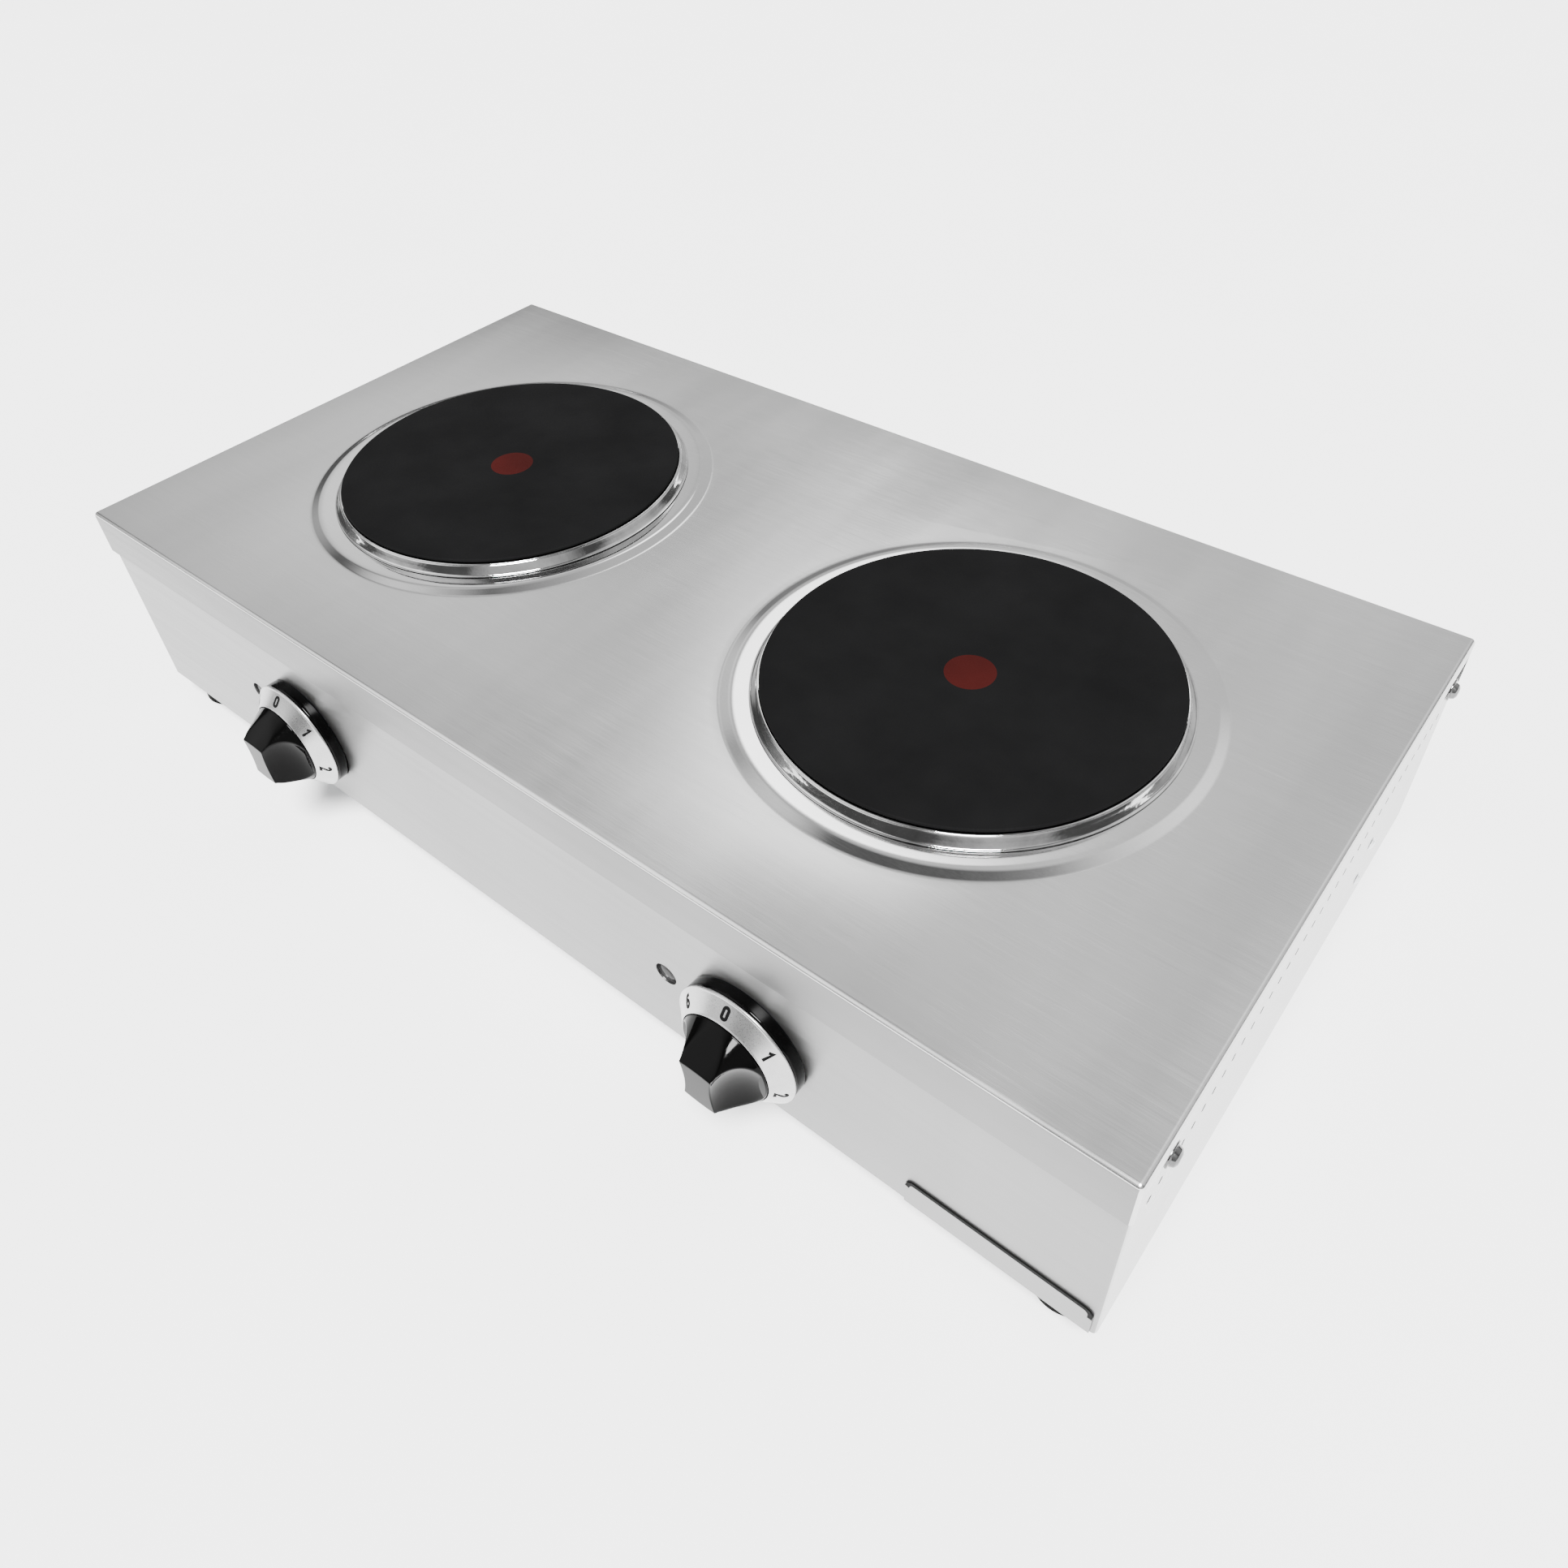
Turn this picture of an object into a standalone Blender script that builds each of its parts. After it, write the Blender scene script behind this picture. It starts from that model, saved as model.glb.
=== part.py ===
"""Counter-top hot plate burner with two cast-iron plates.

Origin on the floor under the middle of the bounding box, +X to the right seen from the
knobs, -Y towards the user, +Z up.  Lengths below are millimetres; meshes are metres.
"""

import math

import bmesh
import bpy
from mathutils import Matrix, Vector

MM = 0.001

# Housing
WIDTH = 614.0
DEPTH = 315.0
TOP_Z = 131.0
SHEET = 0.8
GAP = 0.3
BEND = 2.2
SKIRT = 24.0
SIDE_FLANGE = 9.0
BODY_SHIFT_Y = 5.0
WRAP_X = 305.9
WRAP_FRONT = -155.5
WRAP_BACK = 155.5
WRAP_BOTTOM = 18.0
WRAP_TOP = TOP_Z - BEND
WRAP_BEND = 1.8
TRAY_Z = 19.0
TRAY_RIM = 12.0
REAR_LIP = 12.0

# Vent slots along each side
SLOT_COUNT = 36
SLOT_PITCH = 8.0
SLOT_FIRST_Y = -140.7
SLOT_Z = 97.0
SLOT_LENGTH = 4.2
SLOT_HEIGHT = 4.0

# Hot plates
PLATE_X = 145.8
PLATE_R = 90.0
PLATE_RISE = 8.7
PLATE_EDGE = 1.5
SEAT_R_OUT = 107.5
SEAT_R_IN = 103.0
SEAT_CREST_R = 101.2
SEAT_RISE = 1.6
SEAT_DIP = 0.6
HOLE_R = 91.0
STUD_R = 4.0
BRIDGE_Z = 95.0
BRIDGE_THICK = 2.0

# Knobs and lamps
KNOB_X = 147.3
KNOB_Z = 59.8
KNOB_DEPTH = 30.0
SKIRT_R = 29.7
DIAL_R_BIG = 29.9
DIAL_R_SMALL = 22.7
DIAL_BACK = 6.4
DIAL_FRONT = 13.6
GRIP_R = 21.6
GRIP_BACK = 14.4
GRIP_FACE_HIGH = 11.3
GRIP_FACE_ARCH = 2.12
SCOOP_OFFSET = 23.8
SCOOP_SIZE = (17.0, 29.0, 17.0)
SPINDLE_R = 3.0
SPINDLE_OUT = 21.5
FIXING_OFFSET = 14.0
LAMP_OFFSET_X = -44.0
LAMP_Z = 61.5
LENS_R = 5.3

# Feet, screws, gland
FOOT_X = 286.5
FOOT_Y = 135.0
FOOT_R = 15.6
FOOT_TOP = 18.7
SIDE_SCREW_SPOTS = ((-131.0, 112.0), (145.5, 109.0))
GLAND_X = 230.0
GLAND_Z = 45.0
BRACKET_Y = 81.0
RIVET_Z = (65.0, 41.0)

ROUND = 48
MEDIUM = 36
SMALL = 16
TINY = 12

SIDES = (("left", -1.0), ("right", 1.0))


# ---------------------------------------------------------------- scene set-up

for old in list(bpy.data.objects):
    bpy.data.objects.remove(old, do_unlink=True)

PARTS = bpy.data.collections.new("hot_plate_burner")
CUTTERS = bpy.data.collections.new("cutters")
bpy.context.scene.collection.children.link(PARTS)
bpy.context.scene.collection.children.link(CUTTERS)

ROOT = bpy.data.objects.new("hot_plate_burner_root", None)
ROOT.location = (0.0, BODY_SHIFT_Y * MM, 0.0)
PARTS.objects.link(ROOT)


def material(name, colour, roughness, metallic):
    """One Principled material."""
    made = bpy.data.materials.new(name)
    made.use_nodes = True
    shader = made.node_tree.nodes["Principled BSDF"]
    shader.inputs["Base Color"].default_value = (*colour, 1.0)
    shader.inputs["Roughness"].default_value = roughness
    shader.inputs["Metallic"].default_value = metallic
    made.diffuse_color = (*colour, 1.0)
    return made


FINISHES = {
    "steel": ((0.62, 0.62, 0.61), 0.32, 1.0),
    "chrome": ((0.80, 0.80, 0.80), 0.08, 1.0),
    "iron": ((0.016, 0.016, 0.016), 0.70, 0.1),
    "gloss_black": ((0.008, 0.008, 0.008), 0.10, 0.0),
    "dial_metal": ((0.66, 0.66, 0.65), 0.28, 1.0),
    "lens": ((0.42, 0.43, 0.43), 0.25, 0.0),
    "rubber": ((0.02, 0.02, 0.02), 0.85, 0.0),
    "zinc": ((0.70, 0.71, 0.72), 0.22, 1.0),
    "galvanised": ((0.55, 0.56, 0.57), 0.45, 1.0),
    "ceramic": ((0.82, 0.80, 0.74), 0.55, 0.0),
    "switch_plastic": ((0.05, 0.05, 0.055), 0.55, 0.0),
    "nylon": ((0.06, 0.06, 0.06), 0.45, 0.0),
    "label_plate": ((0.72, 0.72, 0.71), 0.30, 1.0),
    "brass": ((0.72, 0.52, 0.22), 0.30, 1.0),
    "wire_sleeve": ((0.75, 0.74, 0.70), 0.70, 0.0),
}


def dress(thing, name, finish):
    """Name a finished piece, give it its own material and hang it on the root."""
    thing.name = name
    thing.data.name = name
    colour, roughness, metallic = FINISHES[finish]
    thing.data.materials.clear()
    thing.data.materials.append(material(name + "_" + finish, colour, roughness, metallic))
    thing.parent = ROOT
    return thing


# ---------------------------------------------------------------- shape tools

def keep(thing, home):
    """Move an object into one collection only."""
    for other in list(thing.users_collection):
        other.objects.unlink(thing)
    home.objects.link(thing)
    if home is CUTTERS:
        thing.hide_render = True
        thing.display_type = "WIRE"
        thing.parent = ROOT
    return thing


def resize(thing, scale):
    """Scale the mesh itself, so the object's scale stays 1."""
    thing.data.transform(Matrix.Diagonal((*scale, 1.0)))


def soften(thing, angle=32.0):
    """Smooth shading with sharp edges kept."""
    thing.data.shade_smooth()
    thing.data.set_sharp_from_angle(angle=math.radians(angle))
    return thing


def block(centre, size, home=PARTS):
    """Axis-aligned box, millimetres."""
    bpy.ops.mesh.primitive_cube_add(size=1.0, location=Vector(centre) * MM)
    made = bpy.context.object
    resize(made, Vector(size) * MM)
    return keep(made, home)


AXIS_TURN = {
    "z": (0.0, 0.0, 0.0),
    "-y": (math.pi / 2, 0.0, 0.0),
    "y": (-math.pi / 2, 0.0, 0.0),
    "x": (0.0, math.pi / 2, 0.0),
    "-x": (0.0, -math.pi / 2, 0.0),
}


def rod(centre, radius, length, axis="z", home=PARTS, sides=SMALL, tip=None):
    """Cylinder, or cone frustum when a tip radius is given, centred on a point."""
    bpy.ops.mesh.primitive_cone_add(
        vertices=sides,
        radius1=radius * MM,
        radius2=(radius if tip is None else tip) * MM,
        depth=length * MM,
        location=Vector(centre) * MM,
        rotation=AXIS_TURN[axis],
    )
    made = soften(bpy.context.object)
    return keep(made, home)


def turned(profile, base, axis="z", sides=ROUND, closed=False, home=PARTS):
    """Solid or ring turned from (radius, height) points that run down the outer side."""
    mesh = bpy.data.meshes.new("turned")
    points = [(radius * MM, 0.0, height * MM) for radius, height in profile]
    edges = [(i, i + 1) for i in range(len(points) - 1)]
    if closed:
        edges.append((len(points) - 1, 0))
    mesh.from_pydata(points, edges, [])
    made = bpy.data.objects.new("turned", mesh)
    PARTS.objects.link(made)
    screw = made.modifiers.new("turn", "SCREW")
    screw.axis = "Z"
    screw.angle = 2.0 * math.pi
    screw.steps = sides
    screw.render_steps = sides
    screw.use_merge_vertices = True
    screw.merge_threshold = 0.00001
    made = solid_copy(made)
    made.location = Vector(base) * MM
    made.rotation_euler = AXIS_TURN[axis]
    return keep(soften(made), home)


def solid_copy(thing):
    """Plain welded mesh object made from what an object's modifiers or curve give."""
    bpy.context.view_layer.update()
    seen = thing.evaluated_get(bpy.context.evaluated_depsgraph_get())
    mesh = bpy.data.meshes.new_from_object(seen)
    tidy = bmesh.new()
    tidy.from_mesh(mesh)
    bmesh.ops.remove_doubles(tidy, verts=tidy.verts, dist=0.000001)
    tidy.to_mesh(mesh)
    tidy.free()
    mesh.validate()
    made = bpy.data.objects.new(thing.name, mesh)
    made.matrix_world = thing.matrix_world.copy()
    bpy.data.objects.remove(thing, do_unlink=True)
    PARTS.objects.link(made)
    return made


def cutout(outline, thickness, centre, axis="z", home=PARTS):
    """Flat outline in millimetres, given its thickness and set square to an axis."""
    curve = bpy.data.curves.new("outline", "CURVE")
    curve.dimensions = "2D"
    curve.fill_mode = "BOTH"
    curve.extrude = thickness / 2.0 * MM
    line = curve.splines.new("POLY")
    line.points.add(len(outline) - 1)
    for point, (across, along) in zip(line.points, outline):
        point.co = (across * MM, along * MM, 0.0, 1.0)
    line.use_cyclic_u = True
    made = bpy.data.objects.new("outline", curve)
    PARTS.objects.link(made)
    made = solid_copy(made)
    made.location = Vector(centre) * MM
    made.rotation_euler = AXIS_TURN[axis]
    return keep(made, home)


def arc(centre, radius, start, end, count):
    """Points on an arc, angles in degrees."""
    points = []
    for i in range(count + 1):
        turn = math.radians(start + (end - start) * i / count)
        points.append((centre[0] + radius * math.cos(turn), centre[1] + radius * math.sin(turn)))
    return points


def combine(thing, others, operation="DIFFERENCE"):
    """Exact Boolean of each other object with a piece."""
    for other in others:
        change = thing.modifiers.new(operation.lower(), "BOOLEAN")
        change.operation = operation
        change.solver = "EXACT"
        change.object = other
    return thing


def round_edges(thing, radius, segments, chosen):
    """Bevel only the edges whose two ends (in millimetres) pass a test."""
    mesh = thing.data
    weights = mesh.attributes.new("bevel_weight_edge", "FLOAT", "EDGE")
    for edge in mesh.edges:
        ends = [mesh.vertices[i].co / MM for i in edge.vertices]
        weights.data[edge.index].value = 1.0 if chosen(*ends) else 0.0
    bevel = thing.modifiers.new("bend", "BEVEL")
    bevel.width = radius * MM
    bevel.segments = segments
    bevel.limit_method = "WEIGHT"
    return thing


def soft_block(centre, size, radius, segments=2, home=PARTS):
    """Box with all edges rounded."""
    made = block(centre, size, home)
    bevel = made.modifiers.new("round", "BEVEL")
    bevel.width = radius * MM
    bevel.segments = segments
    return made


def cable(points, radius):
    """Wire bundle along straight runs, with closed ends."""
    curve = bpy.data.curves.new("cable", "CURVE")
    curve.dimensions = "3D"
    curve.bevel_depth = radius * MM
    curve.bevel_resolution = 2
    curve.use_fill_caps = True
    run = curve.splines.new("POLY")
    run.points.add(len(points) - 1)
    for point, place in zip(run.points, points):
        point.co = (*(Vector(place) * MM), 1.0)
    made = bpy.data.objects.new("cable", curve)
    PARTS.objects.link(made)
    return soften(solid_copy(made))


# ---------------------------------------------------------------- housing sheets

def not_floor_edge(first, second):
    """True for every edge of a centred box except the four round its underside."""
    return first.z > 0.0 or second.z > 0.0


def lid_block(width, depth, top, height, bend, home):
    """Box with a rounded top and rounded upright edges, open side to come underneath."""
    made = block((0.0, 0.0, top - height / 2.0), (width, depth, height), home)
    return round_edges(made, bend, 4, not_floor_edge)


def make_top_cover():
    """Top sheet with front skirt, short side flanges and a raised seat for each plate."""
    cover = lid_block(WIDTH, DEPTH, TOP_Z, SKIRT, BEND, PARTS)
    hollow = lid_block(
        WIDTH - 2 * SHEET, DEPTH - 2 * SHEET, TOP_Z - SHEET, SKIRT + 10.0, BEND - SHEET, CUTTERS
    )
    seats, hollows, holes = [], [], []
    overlap = 0.4
    spread = (SEAT_R_OUT - SEAT_R_IN) / (SEAT_RISE - 0.1) * overlap
    seat_line = [
        (0.0, SEAT_RISE - SEAT_DIP),
        (HOLE_R - 2.0, SEAT_RISE - SEAT_DIP),
        (SEAT_CREST_R, SEAT_RISE),
        (SEAT_R_IN, SEAT_RISE - 0.1),
        (SEAT_R_OUT + spread, -overlap),
        (0.0, -overlap),
    ]
    for _, sign in SIDES:
        x = sign * PLATE_X
        seats.append(turned(seat_line, (x, 0.0, TOP_Z), home=CUTTERS))
        hollows.append(turned(seat_line, (x, 0.0, TOP_Z - SHEET), home=CUTTERS))
        holes.append(rod((x, 0.0, TOP_Z), HOLE_R, 20.0, home=CUTTERS, sides=ROUND))
    relief_low = TOP_Z - SKIRT - 5.0
    relief_high = TOP_Z - SIDE_FLANGE
    reliefs = []
    for _, sign in SIDES:
        reliefs.append(
            block(
                (sign * WIDTH / 2.0, 0.0, (relief_low + relief_high) / 2.0),
                (8.0, DEPTH - 4.0, relief_high - relief_low),
                CUTTERS,
            )
        )
    combine(cover, [hollow])
    combine(cover, seats, "UNION")
    combine(cover, hollows + holes + reliefs)
    return dress(cover, "top_cover", "steel")


def slot_row(sign):
    """Row of round-ended slot cutters along one side."""
    half = (SLOT_LENGTH - SLOT_HEIGHT) / 2.0
    radius = SLOT_HEIGHT / 2.0
    outline = arc((half, 0.0), radius, -90.0, 90.0, 2) + arc((-half, 0.0), radius, 90.0, 270.0, 2)
    outline = [(-along, across) for across, along in outline]
    first = (sign * WRAP_X, SLOT_FIRST_Y, SLOT_Z)
    cutter = cutout(outline, 6.0, first, "x", CUTTERS)
    row = cutter.modifiers.new("row", "ARRAY")
    row.count = SLOT_COUNT
    row.use_relative_offset = False
    row.use_constant_offset = True
    row.constant_offset_displace = (0.0, SLOT_PITCH * MM, 0.0)
    return cutter


def make_housing_wrap():
    """Front panel and both sides in one bent sheet."""
    inner_x = WRAP_X - SHEET
    outer = [(-WRAP_X, WRAP_BACK)]
    outer += arc(
        (-WRAP_X + WRAP_BEND, WRAP_FRONT + WRAP_BEND), WRAP_BEND, 180.0, 270.0, 4
    )
    outer += arc((WRAP_X - WRAP_BEND, WRAP_FRONT + WRAP_BEND), WRAP_BEND, 270.0, 360.0, 4)
    outer += [(WRAP_X, WRAP_BACK), (inner_x, WRAP_BACK)]
    small = WRAP_BEND - SHEET
    outer += arc((WRAP_X - WRAP_BEND, WRAP_FRONT + WRAP_BEND), small, 360.0, 270.0, 4)
    outer += arc((-WRAP_X + WRAP_BEND, WRAP_FRONT + WRAP_BEND), small, 270.0, 180.0, 4)
    outer += [(-inner_x, WRAP_BACK)]
    height = WRAP_TOP - WRAP_BOTTOM
    wrap = cutout(outer, height, (0.0, 0.0, WRAP_BOTTOM + height / 2.0))
    cutters = []
    for _, sign in SIDES:
        knob_x = sign * KNOB_X
        cutters.append(
            rod((knob_x, WRAP_FRONT, KNOB_Z), 6.0, 6.0, "y", CUTTERS)
        )
        for step in (-FIXING_OFFSET, FIXING_OFFSET):
            cutters.append(
                rod((knob_x + step, WRAP_FRONT, KNOB_Z), 2.4, 6.0, "y", CUTTERS, TINY)
            )
        cutters.append(
            rod((knob_x + LAMP_OFFSET_X, WRAP_FRONT, LAMP_Z), LENS_R + 0.4, 6.0, "y", CUTTERS, 24)
        )
        for along, high in SIDE_SCREW_SPOTS:
            cutters.append(rod((sign * WRAP_X, along, high), 2.4, 6.0, "x", CUTTERS, TINY))
        cutters.append(
            block((sign * WRAP_X, WRAP_BACK, TOP_Z - 10.0), (6.0, 10.0, 28.0), CUTTERS)
        )
        cutters.append(slot_row(sign))
    for height in RIVET_Z:
        cutters.append(rod((WRAP_X, BRACKET_Y, height), 1.9, 6.0, "x", CUTTERS, TINY))
    combine(wrap, cutters)
    return dress(wrap, "housing_wrap", "steel")


def make_bottom_tray():
    """Shallow tray closing the underside."""
    half_x = WRAP_X - SHEET - GAP
    half_y = 154.4
    height = TRAY_RIM
    tray = block((0.0, 0.0, TRAY_Z + height / 2.0), (2 * half_x, 2 * half_y, height))
    hollow = block(
        (0.0, 0.0, TRAY_Z + SHEET + height / 2.0),
        (2 * (half_x - SHEET), 2 * (half_y - SHEET), height),
        CUTTERS,
    )
    holes = []
    for _, side in SIDES:
        for _, end in SIDES:
            holes.append(
                rod((side * FOOT_X, end * FOOT_Y, TRAY_Z), 2.6, 4.0, "z", CUTTERS, TINY)
            )
    combine(tray, [hollow] + holes)
    return dress(tray, "bottom_tray", "galvanised")


def make_rear_panel():
    """Flat back sheet with forward lips and the gland hole."""
    half_x = WRAP_X - SHEET - GAP
    inner = WRAP_BACK - SHEET
    lip = WRAP_BACK - REAR_LIP
    low = TRAY_Z + TRAY_RIM + GAP
    outline = [
        (-half_x, lip),
        (-half_x, WRAP_BACK),
        (half_x, WRAP_BACK),
        (half_x, lip),
        (half_x - SHEET, lip),
        (half_x - SHEET, inner),
        (-half_x + SHEET, inner),
        (-half_x + SHEET, lip),
    ]
    height = WRAP_TOP - TRAY_Z
    panel = cutout(outline[::-1], height, (0.0, 0.0, TRAY_Z + height / 2.0))
    cutters = [rod((GLAND_X, WRAP_BACK, GLAND_Z), 10.2, 6.0, "y", CUTTERS, 24)]
    screw_y, screw_z = SIDE_SCREW_SPOTS[1]
    for _, sign in SIDES:
        cutters.append(
            block(
                (sign * half_x, lip + 3.0, (low + TRAY_Z) / 2.0 - 2.0),
                (8.0, REAR_LIP * 2.0 - 8.0, low - TRAY_Z + 4.0),
                CUTTERS,
            )
        )
        cutters.append(rod((sign * half_x, screw_y, screw_z), 2.4, 6.0, "x", CUTTERS, TINY))
    combine(panel, cutters)
    return dress(panel, "rear_panel", "steel")


def make_cover_bracket(side, sign):
    """Corner bracket under the cover that takes the front side screw."""
    high = TOP_Z - SHEET - GAP
    out = WRAP_X - SHEET - GAP
    thick = 1.1
    outline = [
        (out, high - 32.0),
        (out, high),
        (out - 18.0, high),
        (out - 18.0, high - thick),
        (out - thick, high - thick),
        (out - thick, high - 32.0),
    ]
    outline = [(sign * across, along) for across, along in outline]
    if sign > 0:
        outline = outline[::-1]
    screw_y, screw_z = SIDE_SCREW_SPOTS[0]
    bracket = cutout(outline, 26.0, (0.0, screw_y, 0.0), "-y")
    combine(bracket, [rod((sign * out, screw_y, screw_z), 2.4, 6.0, "x", CUTTERS, TINY)])
    return dress(bracket, "cover_bracket_" + side, "galvanised")


# ---------------------------------------------------------------- cooking zones

def make_zone(side, sign):
    """Plate, overflow ring, heat shield, clamp bridge, nut and ceramic connector."""
    x = sign * PLATE_X
    top = TOP_Z + PLATE_RISE
    under = top - PLATE_EDGE
    floor = top - 15.7
    stud_end = BRIDGE_Z - 8.6
    plate_line = [
        (0.0, top - 0.6),
        (22.4, top - 0.6),
        (23.6, top),
        (89.3, top),
        (PLATE_R, top - 0.8),
        (PLATE_R, under),
        (87.3, under),
        (86.6, floor),
        (11.0, floor),
        (STUD_R, floor - 4.0),
        (STUD_R, stud_end),
        (0.0, stud_end),
    ]
    plate = turned(plate_line, (x, 0.0, 0.0))
    dress(plate, "hot_plate_" + side, "iron")

    seat = TOP_Z + SEAT_RISE
    lip = under - GAP
    ring_line = [
        (88.2, lip),
        (90.7, lip),
        (91.3, lip - 0.5),
        (91.5, lip - 1.2),
        (93.5, seat + 0.9),
        (94.6, seat + 0.5),
        (94.6, seat),
        (92.9, seat + 0.3),
        (90.8, lip - 1.2),
        (90.4, lip - 0.5),
        (88.2, lip - 0.5),
    ]
    ring = turned(ring_line, (x, 0.0, 0.0), closed=True)
    dress(ring, "overflow_ring_" + side, "chrome")

    wall = 82.6
    high = floor - 0.6
    low = floor - 16.0
    shield_line = [
        (wall, high),
        (wall, low + 2.0),
        (wall - 2.0, low),
        (12.6, low),
        (12.6, low + 0.6),
        (wall - 2.3, low + 0.6),
        (wall - 0.6, low + 2.3),
        (wall - 0.6, high),
    ]
    shield = turned(shield_line, (x, 0.0, 0.0), sides=MEDIUM, closed=True)
    dress(shield, "heat_shield_" + side, "galvanised")

    reach, foot = 110.0, 122.0
    high = TOP_Z - SHEET - GAP
    outline = [
        (-foot, high),
        (-reach, high),
        (-reach, BRIDGE_Z + BRIDGE_THICK),
        (reach, BRIDGE_Z + BRIDGE_THICK),
        (reach, high),
        (foot, high),
        (foot, high - BRIDGE_THICK),
        (reach + BRIDGE_THICK, high - BRIDGE_THICK),
        (reach + BRIDGE_THICK, BRIDGE_Z),
        (-reach - BRIDGE_THICK, BRIDGE_Z),
        (-reach - BRIDGE_THICK, high - BRIDGE_THICK),
        (-foot, high - BRIDGE_THICK),
    ]
    bridge = cutout(outline[::-1], 24.0, (x, 0.0, 0.0), "-y")
    combine(bridge, [rod((x, 0.0, BRIDGE_Z), STUD_R + 0.6, 8.0, "z", CUTTERS, SMALL)])
    dress(bridge, "clamp_bridge_" + side, "galvanised")

    nut = rod((x, 0.0, BRIDGE_Z - GAP - 3.0), 7.2, 6.0, sides=6)
    combine(nut, [rod((x, 0.0, BRIDGE_Z), STUD_R + 0.3, 30.0, "z", CUTTERS, SMALL)])
    dress(nut, "clamp_nut_" + side, "zinc")

    ceramic = soft_block((x, 45.0, low - GAP - 5.0), (36.0, 20.0, 10.0), 1.2)
    dress(ceramic, "ceramic_connector_" + side, "ceramic")


# ---------------------------------------------------------------- controls

def grip_cutters(place):
    """Scoops on both flanks of the grip, hung on the knob's axis."""
    scoops = []
    for _, sign in SIDES:
        bpy.ops.mesh.primitive_uv_sphere_add(segments=28, ring_count=16, radius=1.0)
        scoop = bpy.context.object
        scoop.data.transform(Matrix.Rotation(math.pi / 2, 4, "X"))
        resize(scoop, Vector(SCOOP_SIZE) * MM)
        offset = Vector((sign * SCOOP_OFFSET, -KNOB_DEPTH - 0.5, 0.0))
        scoop.location = (Vector(place) + offset) * MM
        scoop.rotation_euler = AXIS_TURN["-y"]
        scoops.append(keep(scoop, CUTTERS))
    return scoops


def make_knob(side, sign):
    """Knob moulding with skirt, hub and scooped bar grip, and the dial ring over its hub."""
    place = (sign * KNOB_X, WRAP_FRONT, KNOB_Z)
    back = 0.5
    hub_line = [
        (0.0, GRIP_BACK + 0.4),
        (GRIP_R - 0.3, GRIP_BACK + 0.4),
        (GRIP_R + 0.2, DIAL_FRONT + 0.4),
        (GRIP_R + 0.3, DIAL_FRONT - 0.7),
        (28.6, DIAL_BACK - 0.1),
        (28.6, DIAL_BACK - GAP),
        (SKIRT_R - 0.5, DIAL_BACK - GAP),
        (SKIRT_R - 0.1, DIAL_BACK - GAP - 0.4),
        (SKIRT_R, DIAL_BACK - GAP - 1.0),
        (SKIRT_R, back + 0.5),
        (SKIRT_R - 0.3, back),
        (24.5, back),
        (24.5, 4.6),
        (8.0, 4.6),
        (8.0, back),
        (0.0, back),
    ]
    knob = turned(hub_line, place, "-y", MEDIUM)

    length = KNOB_DEPTH - GRIP_BACK
    middle = (place[0], WRAP_FRONT - GRIP_BACK - length / 2.0, KNOB_Z)
    face_r = math.hypot(8.1, GRIP_FACE_HIGH)
    grip = rod(middle, GRIP_R, length, "-y", CUTTERS, MEDIUM, face_r)
    wedge = rod(middle, GRIP_R + 0.4, length + 0.2, "-y", CUTTERS, MEDIUM, GRIP_FACE_HIGH)
    resize(wedge, (GRIP_FACE_ARCH, 1.0, 1.0))
    combine(grip, [wedge], "INTERSECT")
    combine(grip, grip_cutters(place))

    bore = rod((place[0], WRAP_FRONT - 11.0, KNOB_Z), SPINDLE_R + 0.3, 23.0, "-y", CUTTERS)
    combine(knob, [grip], "UNION")
    combine(knob, [bore])
    dress(knob, "knob_" + side, "gloss_black")

    dial_line = [
        (22.2, DIAL_FRONT + 0.1),
        (22.5, DIAL_FRONT + 0.1),
        (DIAL_R_SMALL + 0.1, DIAL_FRONT - 0.3),
        (DIAL_R_BIG - 0.3, DIAL_BACK + 0.9),
        (DIAL_R_BIG, DIAL_BACK + 0.5),
        (DIAL_R_BIG, DIAL_BACK),
        (29.0, DIAL_BACK),
        (22.2, DIAL_FRONT - 0.5),
    ]
    dial = turned(dial_line, place, "-y", MEDIUM, closed=True)
    dress(dial, "dial_ring_" + side, "dial_metal")

    inside = 27.0
    length = SPINDLE_OUT + inside
    spindle = rod(
        (place[0], WRAP_FRONT + (inside - SPINDLE_OUT) / 2.0, KNOB_Z), SPINDLE_R, length, "-y"
    )
    dress(spindle, "switch_spindle_" + side, "zinc")
    spindle_origin(spindle, place)


def spindle_origin(thing, place):
    """Put a piece's origin on the joint's point at the panel without moving its mesh."""
    shift = Vector(place) * MM - thing.location
    turn = thing.rotation_euler.to_matrix().to_4x4()
    thing.data.transform(Matrix.Translation(-(turn.inverted() @ shift)))
    thing.location = Vector(place) * MM


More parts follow.
